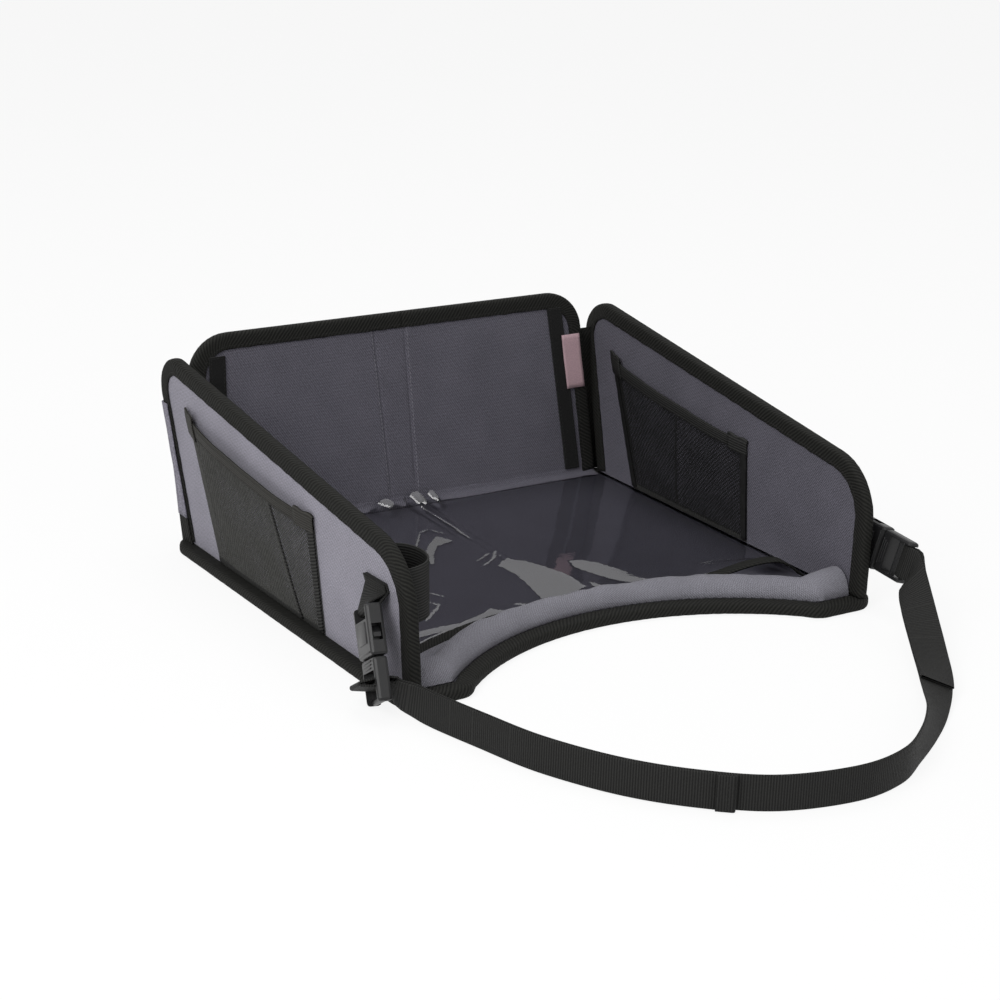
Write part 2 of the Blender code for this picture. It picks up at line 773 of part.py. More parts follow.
def closure_strip(side):
    sign = 1 if side == "right" else -1
    foot_x = BACK_HALF_WIDTH - CLOSURE_END_MARGIN - CLOSURE_WIDTH
    low = TAPE_FLAP
    high = BACK_HEIGHT - CLOSURE_TOP_MARGIN
    corners = [
        (foot_x, low),
        (foot_x + CLOSURE_WIDTH, low),
        (foot_x + CLOSURE_WIDTH - CLOSURE_SLANT, high),
        (foot_x - CLOSURE_SLANT, high),
    ]
    outline = [Vector((sign * x, y)) for x, y in corners]
    lift = PANEL / 2 + FIT + CLOSURE / 2
    plate(f"closure_strip_{side}", "closure", outline, back_frame(), CLOSURE, lift)


def tag():
    high = WALL_HEIGHT - TAG_DROP
    low = high - TAG_HEIGHT
    slope = BACK_TAPER / BACK_HEIGHT
    right = BACK_HALF_WIDTH - TAG_END_MARGIN
    outline = []
    for side_x, height in ((-TAG_WIDTH, low), (0, low), (0, high), (-TAG_WIDTH, high)):
        outline.append(Vector((right + side_x - slope * height, height)))
    lift = PANEL / 2 + FIT + CLOSURE + FIT + TAG_CLOTH / 2
    plate("side_tag", "pink_tag", outline, back_frame(), TAG_CLOTH, lift)


# Release buckles. A buckle's frame has x along its bars, y through its thickness and z along
# its length, from the bar that hangs on the webbing tab towards the plug's end.

def left_buckle_frame():
    along = Vector((math.sin(LEFT_BUCKLE_TURN), math.cos(LEFT_BUCKLE_TURN), 0))
    lean = LEFT_BUCKLE_LEAN
    length = -math.sin(lean) * along - math.cos(lean) * Vector((0, 0, 1))
    bar = math.cos(lean) * along - math.sin(lean) * Vector((0, 0, 1))
    x = -(WALL_X + PANEL / 2 + LEFT_BAR_STANDOFF)
    place = Vector((x, SIDE_FRONT_Y + LEFT_BAR_SETBACK, LEFT_BAR_HEIGHT))
    return frame_of(bar, length.cross(bar), place)


def right_buckle_frame():
    dip = RIGHT_BUCKLE_DIP
    level = Vector((math.sin(RIGHT_BUCKLE_TURN), -math.cos(RIGHT_BUCKLE_TURN), 0))
    length = math.cos(dip) * level - math.sin(dip) * Vector((0, 0, 1))
    roll = RIGHT_BUCKLE_ROLL
    down = -math.cos(roll) * Vector((0, 0, 1)) - math.sin(roll) * Vector((1, 0, 0))
    bar = (down - length * down.dot(length)).normalized()
    x = WALL_X + PANEL / 2 + RIGHT_BAR_STANDOFF
    place = Vector((x, SIDE_FRONT_Y + RIGHT_BAR_SETBACK, RIGHT_BAR_HEIGHT))
    return frame_of(bar, length.cross(bar), place)


BUCKLES = {"left": left_buckle_frame(), "right": right_buckle_frame()}
SLOT_WIDTH = WEBBING_WIDTH + SLOT_PLAY
PLUG_START = SOCKET_LENGTH + FIT
PLUG_END = PLUG_START + PLUG_LENGTH
MIDDLE_BAR = PLUG_START + PLUG_BLOCK + HEAD_SLOT + BAR_RADIUS
END_BAR = PLUG_END - BAR_RADIUS
BAR_LENGTH = SLOT_WIDTH + 2 * BUCKLE_ROUND


def socket(side):
    """The half on the webbing tab: a bar to hang by, a cavity and two side windows."""
    frame = BUCKLES[side]
    name = f"{side}_buckle_socket"
    length = SOCKET_LENGTH + BAR_RADIUS
    middle = SOCKET_LENGTH - length / 2
    body = boxes(name, frame, [((SOCKET_WIDTH, SOCKET_DEPTH, length), (0, 0, middle))], TRAY)
    rounding(body, BUCKLE_ROUND)
    head = 2 * BAR_RADIUS + HEAD_SLOT + OVERRUN
    head_middle = BAR_RADIUS + HEAD_SLOT - head / 2
    open_head = ((SLOT_WIDTH, SOCKET_DEPTH + OVERRUN, head), (0, 0, head_middle))
    cavity_length = SOCKET_LENGTH - CAVITY_START + OVERRUN
    cavity = (
        (CAVITY_WIDTH, CAVITY_DEPTH, cavity_length),
        (0, 0, CAVITY_START + cavity_length / 2),
    )
    window_middle = (WINDOW_START + WINDOW_END) / 2
    windows = (
        (SOCKET_WIDTH + OVERRUN, CAVITY_DEPTH - FIT, WINDOW_END - WINDOW_START),
        (0, 0, window_middle),
    )
    boolean(body, boxes(f"{name}_head_cutter", frame, [open_head], CUTTERS), "DIFFERENCE")
    boolean(body, boxes(f"{name}_cavity_cutter", frame, [cavity], CUTTERS), "DIFFERENCE")
    boolean(body, boxes(f"{name}_window_cutter", frame, [windows], CUTTERS), "DIFFERENCE")
    boolean(body, bars(f"{name}_bar", frame, BAR_LENGTH, [0]), "UNION")
    finish(body, "buckle_plastic")


def plug(side):
    """The half on the strap: a block, two bars the webbing runs round and a guide tongue."""
    frame = BUCKLES[side]
    name = f"{side}_buckle_plug"
    body = boxes(
        name,
        frame,
        [((PLUG_WIDTH, PLUG_DEPTH, PLUG_LENGTH), (0, 0, PLUG_START + PLUG_LENGTH / 2))],
        TRAY,
    )
    rounding(body, BUCKLE_ROUND)
    ladder_start = PLUG_START + PLUG_BLOCK
    ladder = PLUG_LENGTH - PLUG_BLOCK + OVERRUN
    opening = ((SLOT_WIDTH, PLUG_DEPTH + OVERRUN, ladder), (0, 0, ladder_start + ladder / 2))
    guide_length = PLUG_START + OVERRUN - GUIDE_START
    guide = ((GUIDE_WIDTH, PRONG_DEPTH, guide_length), (0, 0, GUIDE_START + guide_length / 2))
    boolean(body, boxes(f"{name}_ladder_cutter", frame, [opening], CUTTERS), "DIFFERENCE")
    boolean(body, boxes(f"{name}_guide", frame, [guide], CUTTERS), "UNION")
    boolean(body, bars(f"{name}_bars", frame, BAR_LENGTH, [MIDDLE_BAR, END_BAR]), "UNION")
    finish(body, "buckle_plastic")


def prong(side, which):
    """One springy arm of the plug, its barb in the socket's side window."""
    sign = 1 if which == "low" else -1
    root = PLUG_START - FIT
    corners = [
        (PRONG_INNER, PRONG_TIP),
        (PRONG_INNER + PRONG_WIDTH, PRONG_TIP),
        (PRONG_BARB, PRONG_SHOULDER - PRONG_WIDTH),
        (PRONG_BARB, PRONG_SHOULDER),
        (PRONG_INNER + PRONG_WIDTH, PRONG_SHOULDER),
        (PRONG_INNER + PRONG_WIDTH, root),
        (PRONG_INNER, root),
    ]
    outline = [Vector((sign * x, y)) for x, y in corners]
    flat = BUCKLES[side] @ Matrix.Rotation(math.pi / 2, 4, "X")
    plate(f"{side}_buckle_prong_{which}", "buckle_plastic", outline, flat, PRONG_DEPTH)


# Webbing: a line of (middle, edge direction) stations, doubled back round the bars

def smooth(stations, step):
    """Catmull-Rom stations at an even step through the given ones."""
    padded = [stations[0]] + stations + [stations[-1]]
    fine = []
    for i in range(1, len(padded) - 2):
        p = padded[i - 1 : i + 3]
        span = (p[2][0] - p[1][0]).length
        count = max(1, round(span / step))
        for k in range(count):
            t = k / count
            blend = (
                (-t + 2 * t**2 - t**3) / 2,
                (2 - 5 * t**2 + 3 * t**3) / 2,
                (t + 4 * t**2 - 3 * t**3) / 2,
                (t**3 - t**2) / 2,
            )
            middle = sum((q[0] * b for q, b in zip(p, blend)), Vector())
            edge = sum((q[1] * b for q, b in zip(p, blend)), Vector())
            fine.append((middle, edge.normalized()))
    fine.append(stations[-1])
    return fine


def normals(line):
    """The webbing's outward face direction at each station."""
    faces = []
    for i, (_, edge) in enumerate(line):
        before = line[max(0, i - 1)][0]
        after = line[min(len(line) - 1, i + 1)][0]
        run = (after - before).normalized()
        faces.append(run.cross(edge).normalized())
    return faces


def spread(distance, near_bar, ply):
    """Half the distance between two plies, opening to pass round a bar."""
    reach = OPENING_SHARE * near_bar
    share = max(0, 1 - distance / reach)
    return ply + (near_bar - ply) * share * share * (3 - 2 * share)


def run_round(middle, run, edge, half, poke):
    """Stations of the turn round a bar, leaving on the outward ply."""
    face = run.cross(edge).normalized()
    steps = 6
    turned = []
    for k in range(1, steps):
        angle = math.pi * k / steps
        place = middle - run * (poke + half * math.sin(angle))
        turned.append((place - face * half * math.cos(angle), edge))
    return turned


def distances(line):
    walked = [0.0]
    for one, two in zip(line, line[1:]):
        walked.append(walked[-1] + (two[0] - one[0]).length)
    return walked


def waist_strap():
    left = BUCKLES["left"]
    right = BUCKLES["right"]
    left_bar = left @ Vector((0, 0, MIDDLE_BAR))
    right_bar = right @ Vector((0, 0, END_BAR))
    left_run = left.to_3x3() @ Vector((0, 1, 0))
    right_run = right.to_3x3() @ Vector((0, 0, -1))
    left_edge = left.to_3x3() @ Vector((-1, 0, 0))
    right_edge = right.to_3x3() @ Vector((1, 0, 0))
    half = WEBBING_WIDTH / 2
    route = [(left_bar, left_edge)]
    route.append((left_bar + left_run * PLUG_DEPTH / 2, left_edge))
    route.append((left_bar + left_run * PLUG_DEPTH, left_edge))
    for x, y, z, edge in STRAP_ROUTE_SHARES:
        place = Vector((x * HALF_WIDTH, -HALF_DEPTH - y * STRAP_REACH, z * half))
        route.append((place, Vector(edge).normalized()))
    route.append((right_bar - right_run * PLUG_DEPTH, right_edge))
    route.append((right_bar, right_edge))
    line = smooth(route, STRAP_STEP)
    faces = normals(line)
    faces[0] = left_run.cross(left_edge).normalized()
    faces[-1] = right_run.cross(right_edge).normalized()
    walked = distances(line)
    whole = walked[-1]
    ply = (WEBBING + PLY_GAP) / 2
    wrap = BAR_RADIUS + FIT + WEBBING / 2
    band = []
    fold = 3 * ply
    tail = [i for i, far in enumerate(walked) if far < LEFT_TAIL]
    last = tail[-1]
    run = (line[last][0] - line[last - 1][0]).normalized()
    start = line[last][0] + faces[last] * fold - run * TAIL_FOLD
    band.append((start, line[last][1]))
    band.append((line[last][0] + faces[last] * fold, line[last][1]))
    for k in range(1, 4):
        angle = math.pi * k / 4
        off = 2 * ply + ply * math.cos(angle)
        place = line[last][0] + faces[last] * off + run * ply * math.sin(angle)
        band.append((place, line[last][1]))
    for i in reversed(tail):
        half_gap = spread(walked[i], wrap, ply)
        band.append((line[i][0] + faces[i] * half_gap, line[i][1]))
    poke = left_run * LEFT_TAIL_POKE
    band.append((line[0][0] + faces[0] * wrap - poke, line[0][1]))
    band += run_round(line[0][0], left_run, line[0][1], -wrap, LEFT_TAIL_POKE)
    band.append((line[0][0] - faces[0] * wrap - poke, line[0][1]))
    for i, (middle, edge) in enumerate(line):
        half_gap = max(spread(walked[i], wrap, ply), spread(whole - walked[i], wrap, ply))
        band.append((middle - faces[i] * half_gap, edge))
    band += run_round(line[-1][0], -right_run, line[-1][1], -wrap, 0)
    for i in reversed(range(len(line))):
        if whole - walked[i] < RIGHT_TAIL:
            half_gap = spread(whole - walked[i], wrap, ply)
            band.append((line[i][0] + faces[i] * half_gap, line[i][1]))
    lower = [middle - edge * half for middle, edge in band]
    upper = [middle + edge * half for middle, edge in band]
    web("waist_strap", "webbing", [lower, upper], WEBBING)
    print("strap from bar to bar %.0f mm, whole webbing %.0f mm, lowest %.2f mm" % (
        whole / MM,
        distances(band)[-1] / MM,
        min(min(p.z for p in lower), min(p.z for p in upper)) / MM,
    ))


def buckle_tab(side):
    """Webbing folded to a point on the wall and looped round the socket's bar."""
    frame = BUCKLES[side]
    bar_line = frame.to_3x3() @ Vector((1, 0, 0))
    back_up = frame.to_3x3() @ Vector((0, 0, -1))
    face = frame.to_3x3() @ Vector((0, 1, 0))
    sign = -1 if side == "left" else 1
    if face.x * sign < 0:
        face = -face
    half = WEBBING_WIDTH / 2
    centre = frame.translation
    wrap = BAR_RADIUS + FIT + TAB_WEBBING / 2
    ply = (TAB_WEBBING + PLY_GAP) / 2
    surface = PANEL / 2 + FIT + TAB_WEBBING / 2
    steps = 6
    leg_steps = 5

    def on_wall(point, layer):
        place = side_frame(side).inverted() @ point
        return side_frame(side) @ Vector((place.x, place.y, -surface - layer))

    rails = []
    for offset, rise in ((-half, TAB_SEWN), (half, TAB_RISE)):
        middle = centre + bar_line * offset
        end = middle + back_up * rise
        over = end + back_up * TAB_SEWN
        reach = on_wall(end, ply) - middle
        across = math.hypot(reach.dot(face), reach.dot(back_up))
        toward = math.atan2(reach.dot(back_up), reach.dot(face))
        open_angle = math.acos(wrap / across)
        turn = []
        for k in range(steps + 1):
            angle = toward + open_angle + 2 * (math.pi - open_angle) * k / steps
            place = face * math.cos(angle) + back_up * math.sin(angle)
            turn.append(middle + place * wrap)
        down = [on_wall(end, 0).lerp(turn[0], k / leg_steps) for k in range(leg_steps)]
        back = [turn[-1].lerp(on_wall(end, 2 * ply), k / leg_steps) for k in range(1, leg_steps)]
        back += [on_wall(end, 2 * ply), on_wall(over, 2 * ply)]
        rails.append([on_wall(over, 0)] + down + turn + back)
    web(f"{side}_buckle_tab", "webbing", rails, TAB_WEBBING)


# Joints. Each moving body hangs from an empty on its joint's axis.

def hang(name, place, stems):
    """An empty that carries each piece whose name starts with a stem, where it stands."""
    carried = [o for o in bpy.data.objects if o.parent is None and o.name.startswith(stems)]
    made = bpy.data.objects.new(name, None)
    made.empty_display_size = PIVOT_SIZE
    made.location = place
    TRAY.objects.link(made)
    for piece in carried:
        piece.parent = made
        piece.matrix_parent_inverse = Matrix.Translation(place).inverted()


def buckle_joints(side):
    frame = BUCKLES[side]
    root = PRONG_INNER + PRONG_WIDTH / 2
    for which, x in (("low", root), ("high", -root)):
        place = frame @ Vector((x, 0, PLUG_START - FIT))
        hang(f"{side}_prong_{which}_press", place, (f"{side}_buckle_prong_{which}",))
    place = frame @ Vector((0, 0, PLUG_START))
    hang(f"{side}_buckle_release", place, (f"{side}_buckle_plug", f"{side}_prong"))
    stems = (f"{side}_buckle_socket", f"{side}_buckle_release")
    hang(f"{side}_buckle_swing", frame.translation, stems)


def panel_stems(stem, side):
    """Names of one panel's pieces."""
    pieces = ("board", "inner_cover", "outer_cover", "binding")
    return tuple(f"{stem}_{piece}_{side}" for piece in pieces)


def joints():
    for side, sign in (("left", -1), ("right", 1)):
        buckle_joints(side)
        wall = panel_stems("side", side) + (
            f"{side}_pocket",
            f"{side}_buckle",
            f"corner_tab_{side}",
        )
        if side == "left":
            wall += ("cup_loop",)
        hang(f"{side}_wall_fold", (sign * WALL_INNER_X, 0, WALL_FOLD_Z), wall)
        back = panel_stems("back", side) + (f"closure_strip_{side}",)
        if side == "right":
            back += ("side_tag",)
        hang(f"back_{side}_fold", (0, BACK_FOLD_Y, BACK_FOLD_Z), back)
    sheets = ("clear_sheet_right", "clear_sheet_tape_right", "front_pad_right")
    folds = ("right_wall_fold", "back_right_fold")
    hang("centre_fold", (0, 0, 0), panel_stems("floor", "right") + sheets + folds)


for hand in ("left", "right"):
    floor(hand)
    back_wall(hand)
    side_wall(hand)
    clear_sheet(hand)
    pad(hand)
    pocket(hand)
    corner_tab(hand)
    closure_strip(hand)
    socket(hand)
    plug(hand)
    prong(hand, "low")
    prong(hand, "high")
    buckle_tab(hand)
cup_loop()
tag()
waist_strap()
joints()
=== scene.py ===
"""Looks of the fold-flat tray table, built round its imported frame. Metres, +Z up."""
import math

import bmesh
import bpy
from mathutils import Matrix, Vector, noise


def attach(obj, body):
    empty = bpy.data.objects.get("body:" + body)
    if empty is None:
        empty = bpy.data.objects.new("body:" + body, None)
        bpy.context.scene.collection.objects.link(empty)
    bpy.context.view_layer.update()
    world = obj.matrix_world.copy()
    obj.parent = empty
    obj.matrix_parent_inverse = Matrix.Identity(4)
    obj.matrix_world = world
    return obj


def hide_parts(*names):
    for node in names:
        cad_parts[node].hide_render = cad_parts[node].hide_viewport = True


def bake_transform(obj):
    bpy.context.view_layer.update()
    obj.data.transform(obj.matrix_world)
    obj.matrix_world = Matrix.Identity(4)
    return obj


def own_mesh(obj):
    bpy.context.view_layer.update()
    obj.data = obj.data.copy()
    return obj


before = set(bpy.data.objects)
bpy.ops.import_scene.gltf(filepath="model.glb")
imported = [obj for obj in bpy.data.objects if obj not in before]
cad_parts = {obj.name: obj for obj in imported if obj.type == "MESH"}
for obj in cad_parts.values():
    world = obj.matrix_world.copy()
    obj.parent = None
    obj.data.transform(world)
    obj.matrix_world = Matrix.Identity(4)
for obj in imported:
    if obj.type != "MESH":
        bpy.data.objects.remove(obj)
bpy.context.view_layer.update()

MM = 0.001

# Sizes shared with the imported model
HALF_WIDTH = 175 * MM
HALF_DEPTH = 152.5 * MM
WALL_HEIGHT = 125 * MM
FRONT_DROP = 41 * MM
CUT_HALF_WIDTH = 131 * MM
CUT_DEPTH = 54 * MM
FIT = 0.3 * MM
COVER = 0.8 * MM
PANEL = 5 * MM
COVER_LIFT = (PANEL - COVER) / 2
TAPE = 0.9 * MM
TAPE_FLAP = 9 * MM
TAPE_OUT = 1.55 * MM
BOUND = 7.4 * MM
FLOOR_CORNER = 13 * MM
HORN_CORNER = 13 * MM
WALL_X = 164.3 * MM
WALL_INNER_X = 160.6 * MM
WALL_FOOT = 7.958 * MM
WALL_FRONT_CORNER = 38 * MM
SIDE_BACK_Y = 143.5 * MM
SIDE_FRONT_Y = -150.5 * MM
BACK_INNER_Y = 144.1 * MM
BACK_OUTER_Y = 151.5 * MM
BACK_HEIGHT = 134 * MM
BACK_HALF_WIDTH = 160 * MM
BACK_TAPER = 10 * MM
BACK_CORNER = 27 * MM
BACK_LEAN = math.radians(5)
LEFT_LEAN = math.radians(4)
RIGHT_LEAN = math.radians(0.5)
PAD_WIDTH = 34 * MM
PAD_END_WIDTH = 45 * MM
SHEET_TAPE_WIDTH = 8 * MM
SHEET_LEVEL = 6.75 * MM
CUT_RADIUS = (CUT_HALF_WIDTH**2 + CUT_DEPTH**2) / (2 * CUT_DEPTH)
CUT_CENTRE_Y = -HALF_DEPTH + CUT_DEPTH - CUT_RADIUS
HAIRLINE = 0.01 * MM
REAR_SLANT = 0.25
REAR_CORNER = 22.5 * MM
REAR_SPLIT = 139.9 * MM
REAR_KEEP = 0.04
SIGNS = {"left": -1, "right": 1}
UP = Vector((0, 0, 1))
STRAP_HALF = 10.5 * MM
STRAP_REACH = 212 * MM
BAR_RADIUS = 1.75 * MM
MIDDLE_BAR = 42.55 * MM
END_BAR = 52.15 * MM

# Plies of the waist strap and its tabs, and how far each end is turned back
STRAP_THICK = 1.4 * MM
TAB_THICK = 1.2 * MM
PLY_GAP = 0.5 * MM
LEFT_TAIL = 232 * MM
RIGHT_TAIL = 130 * MM

# Roll of the padded strip
PAD_END = WALL_INNER_X - 0.9 * MM
PAD_BASE = 6.5 * MM
PAD_STATIONS = 90
PAD_TOPS = 26

# Pockets. A mouth is inset from the wall's back and front, and drops below the wall's top at
# its back and so much less at its front, in millimetres
POCKET_MOUTHS = {"left": (19, 110, 29.5, 6.5), "right": (16, 123, 32.5, 3.5)}
POCKET_FOOT = 2.2 * MM
POCKET_BULGE = 5.5 * MM
HEM_WIDTH = 10 * MM
NET_HEIGHT = 87 * MM
NET_CELL = 3.0 * MM
NET_STRAND = 0.7 * MM

# Light: strength on the object, strength seen, and how white the floor is to the camera
AMBIENT = 0.5
WHITE = 1.0
FLOOR_WHITE = 0.88

# Scale of the yarn's fine noise in the looks of cloth
YARN_SCALE = 900

# Route of the strap between the buckles. Each row holds x in shares of the tray's half width,
# y in front of the floor's edge in shares of the strap's reach, z in shares of half the
# webbing's width, then the direction of the webbing's upper edge.
STRAP_ROUTE = [
    (-1.020, 0.010, 1.36, (-0.12, -0.45, 0.88)),
    (-0.995, 0.055, 1.18, (-0.03, -0.20, 0.98)),
    (-0.972, 0.120, 1.06, (0.0, 0.0, 1.0)),
    (-0.920, 0.280, 1.03, (0.0, 0.0, 1.0)),
    (-0.850, 0.480, 1.03, (0.0, 0.0, 1.0)),
    (-0.725, 0.680, 1.03, (0.0, 0.0, 1.0)),
    (-0.565, 0.835, 1.03, (0.0, 0.0, 1.0)),
    (-0.375, 0.950, 1.03, (0.0, 0.0, 1.0)),
    (-0.120, 1.000, 1.03, (0.0, 0.0, 1.0)),
    (0.080, 0.975, 1.03, (0.0, 0.0, 1.0)),
    (0.235, 0.900, 1.03, (0.0, 0.05, 1.0)),
    (0.385, 0.805, 1.02, (-0.25, 0.22, 0.94)),
    (0.515, 0.700, 0.95, (-0.60, 0.43, 0.67)),
    (0.650, 0.573, 0.92, (-0.80, 0.55, 0.25)),
    (0.780, 0.420, 1.25, (-0.86, 0.50, 0.0)),
    (0.890, 0.270, 2.20, (-0.84, 0.46, -0.25)),
    (0.960, 0.175, 3.10, (-0.66, 0.26, -0.70)),
]


def millimetres(*spots):
    return [Vector((x * MM, y * MM)) for x, y in spots]


# Folds of the clear film that catch the light, in millimetres: half the width of a narrow fold
# along its line, or 0 for a flat facet with its outline. Their normals lean forward, and more
# so towards the rear
FILM_FOLDS = [
    (0, millimetres((-10, 10), (3, 18), (11, 9), (16, -4), (21, -31),
                    (18, -51), (-3, -61), (-19, -58), (-13, -35), (-9, -12))),
    (0, millimetres((37, -4), (46, -7), (53, -18), (59, -36), (62, -64),
                    (53, -63), (45, -53), (38, -35), (33, -15))),
    (0, millimetres((26, -44), (29, -55), (22, -56))),
    (0, millimetres((-117, -67), (-84, -67), (-64, -60), (-56, -55),
                    (-51, -62), (-80, -70), (-98, -74), (-118, -75))),
    (0, millimetres((-48, 30), (-43, 48), (-29, 65), (-16, 77),
                    (-10, 64), (-26, 59), (-37, 45), (-43, 33))),
    (1.0 * MM, millimetres((-46, 51), (-36, 69), (-22, 88), (-14, 90), (-9, 79))),
    (1.2 * MM, millimetres((-17, 14), (-5, 22), (3, 32))),
    (0.9 * MM, millimetres((-17, 23), (-4, 31), (2, 24))),
    (1.0 * MM, millimetres((2, 126), (3, 105), (3, 85), (1, 60))),
    (0.8 * MM, millimetres((-84, -23), (-80, -34), (-100, -52))),
    (0.8 * MM, millimetres((-76, -10), (-70, -22))),
    (0.8 * MM, millimetres((-38, -55), (-31, -61))),
]
FOLD_LEAN = 0.2
REAR_FOLD_LEAN = 0.52


# Stage, camera and light

def stage():
    world = bpy.data.worlds.new("studio")
    bpy.context.scene.world = world
    world.use_nodes = True
    nodes = world.node_tree.nodes
    links = world.node_tree.links
    nodes.clear()
    out = nodes.new("ShaderNodeOutputWorld")
    path = nodes.new("ShaderNodeLightPath")
    seen = path.outputs["Is Camera Ray"]
    for ray in ("Is Glossy Ray", "Is Transmission Ray"):
        either = nodes.new("ShaderNodeMath")
        either.operation = "MAXIMUM"
        links.new(seen, either.inputs[0])
        links.new(path.outputs[ray], either.inputs[1])
        seen = either.outputs[0]
    mix = nodes.new("ShaderNodeMixShader")
    links.new(seen, mix.inputs["Fac"])
    for socket, strength in ((1, AMBIENT), (2, WHITE)):
        light = nodes.new("ShaderNodeBackground")
        light.inputs["Strength"].default_value = strength
        links.new(light.outputs[0], mix.inputs[socket])
    links.new(mix.outputs[0], out.inputs["Surface"])

    shape = bmesh.new()
    bmesh.ops.create_grid(shape, x_segments=2, y_segments=2, size=6)
    floor = made("studio_floor", shape, floor_look())
    floor.location.z = -0.4 * MM

    lamp("key", (-1.35, -0.75, 1.25), 1.1, 26)
    lamp("top", (0.1, 0.3, 1.9), 1.5, 13)
    lamp("front", (0.5, -1.9, 1.1), 1.4, 7)


def floor_look():
    """Pale floor: white to the camera, and shaded where the tray stands."""
    look = Look("studio_floor", (0.8, 0.8, 0.8), 0.9)
    nodes = look.tree.nodes
    links = look.tree.links
    path = nodes.new("ShaderNodeLightPath")
    white = nodes.new("ShaderNodeEmission")
    white.inputs["Strength"].default_value = WHITE
    mix = nodes.new("ShaderNodeMixShader")
    seen = path.outputs["Is Camera Ray"]
    share = look.math("MULTIPLY_ADD", seen, FLOOR_WHITE, path.outputs["Is Glossy Ray"])
    links.new(share, mix.inputs["Fac"])
    links.new(look.shader.outputs[0], mix.inputs[1])
    links.new(white.outputs[0], mix.inputs[2])
    links.new(mix.outputs[0], nodes["Material Output"].inputs["Surface"])
    return look.material


def lamp(name, place, size, power):
    light = bpy.data.lights.new(name, "AREA")
    light.shape = "DISK"
    light.size = size
    light.energy = power
    held = bpy.data.objects.new(name, light)
    held.location = place
    held.rotation_euler = (-Vector(place)).to_track_quat("-Z", "Y").to_euler()
    bpy.context.scene.collection.objects.link(held)


def camera():
    turn = math.radians(-32.958)
    rise = math.radians(18.787)
    roll = math.radians(1.922)
    back = Vector((math.sin(turn) * math.cos(rise), -math.cos(turn) * math.cos(rise), math.sin(rise)))
    level = Vector((math.cos(turn), math.sin(turn), 0))
    up = back.cross(level)
    right = math.cos(roll) * level + math.sin(roll) * up
    above = math.cos(roll) * up - math.sin(roll) * level
    lens = bpy.data.cameras.new("view")
    lens.lens = 85.63
    lens.sensor_width = 36
    held = bpy.data.objects.new("view", lens)
    place = Matrix((right, above, back)).transposed().to_4x4()
    place.translation = (-0.8005, -1.2103, 0.5466)
    held.matrix_world = place
    bpy.context.scene.collection.objects.link(held)
    bpy.context.scene.camera = held
    bpy.context.scene.view_settings.view_transform = "Standard"


# Materials

class Look:
    """A material and short ways to wire its nodes."""

    def __init__(self, name, colour, roughness):
        self.material = bpy.data.materials.new(name)
        self.material.use_nodes = True
        self.tree = self.material.node_tree
        self.shader = self.tree.nodes["Principled BSDF"]
        self.shader.inputs["Base Color"].default_value = (*colour, 1)
        self.shader.inputs["Roughness"].default_value = roughness

    def put(self, socket, value):
        if isinstance(value, bpy.types.NodeSocket):
            self.tree.links.new(value, socket)
        else:
            socket.default_value = value

    def math(self, operation, *values):
        node = self.tree.nodes.new("ShaderNodeMath")
        node.operation = operation
        for socket, value in zip(node.inputs, values):
            self.put(socket, value)
        return node.outputs[0]

    def across(self):
        """The two flat coordinates of the cloth, in metres, apart and together."""
        uv = self.tree.nodes.new("ShaderNodeUVMap")
        uv.uv_map = "cloth"
        parts = self.tree.nodes.new("ShaderNodeSeparateXYZ")
        self.tree.links.new(uv.outputs[0], parts.inputs[0])
        return parts.outputs[0], parts.outputs[1], uv.outputs[0]

    def wave(self, u, v, a, b, pitch):
        """sin of (a u + b v) over the pitch."""
        along = self.math("MULTIPLY", u, a * 2 * math.pi / pitch)
        both = self.math("MULTIPLY_ADD", v, b * 2 * math.pi / pitch, along)
        return self.math("SINE", both)

    def noise(self, vector, scale, detail=2.0):
        node = self.tree.nodes.new("ShaderNodeTexNoise")
        node.inputs["Scale"].default_value = scale
        node.inputs["Detail"].default_value = detail
        self.tree.links.new(vector, node.inputs["Vector"])
        return node.outputs["Fac"]

    def place(self):
        return self.tree.nodes.new("ShaderNodeTexCoord").outputs["Object"]

    def spread(self, value, ends, low, high):
        """The value's range between its ends, mapped from low to high."""
        node = self.tree.nodes.new("ShaderNodeMapRange")
        self.put(node.inputs["Value"], value)
        node.inputs["From Min"].default_value, node.inputs["From Max"].default_value = ends
        node.inputs["To Min"].default_value = low
        node.inputs["To Max"].default_value = high
        return node.outputs[0]

    def ramp(self, value, ends, colour, shares):
        """The colour's dark and light shares as the value goes between its ends."""
        mix = self.tree.nodes.new("ShaderNodeMix")
        mix.data_type = "RGBA"
        self.tree.links.new(self.spread(value, ends, 0, 1), mix.inputs["Factor"])
        for socket, share in zip((6, 7), shares):
            mix.inputs[socket].default_value = (*(c * share for c in colour), 1)
        self.tree.links.new(mix.outputs[2], self.shader.inputs["Base Color"])

    def rough(self, value, low, high):
        self.tree.links.new(self.spread(value, (0, 1), low, high), self.shader.inputs["Roughness"])

    def bump(self, height, depth, strength=1.0):
        node = self.tree.nodes.new("ShaderNodeBump")
        node.inputs["Distance"].default_value = depth
        node.inputs["Strength"].default_value = strength
        self.put(node.inputs["Height"], height)
        return node.outputs[0]

    def finish(self, height, depth, strength, specular, sheen=0.0):
        """Bump, and the two constants that the shader holds itself."""
        self.tree.links.new(self.bump(height, depth, strength), self.shader.inputs["Normal"])
        self.shader.inputs["Specular IOR Level"].default_value = specular
        self.shader.inputs["Sheen Weight"].default_value = sheen
        return self.material


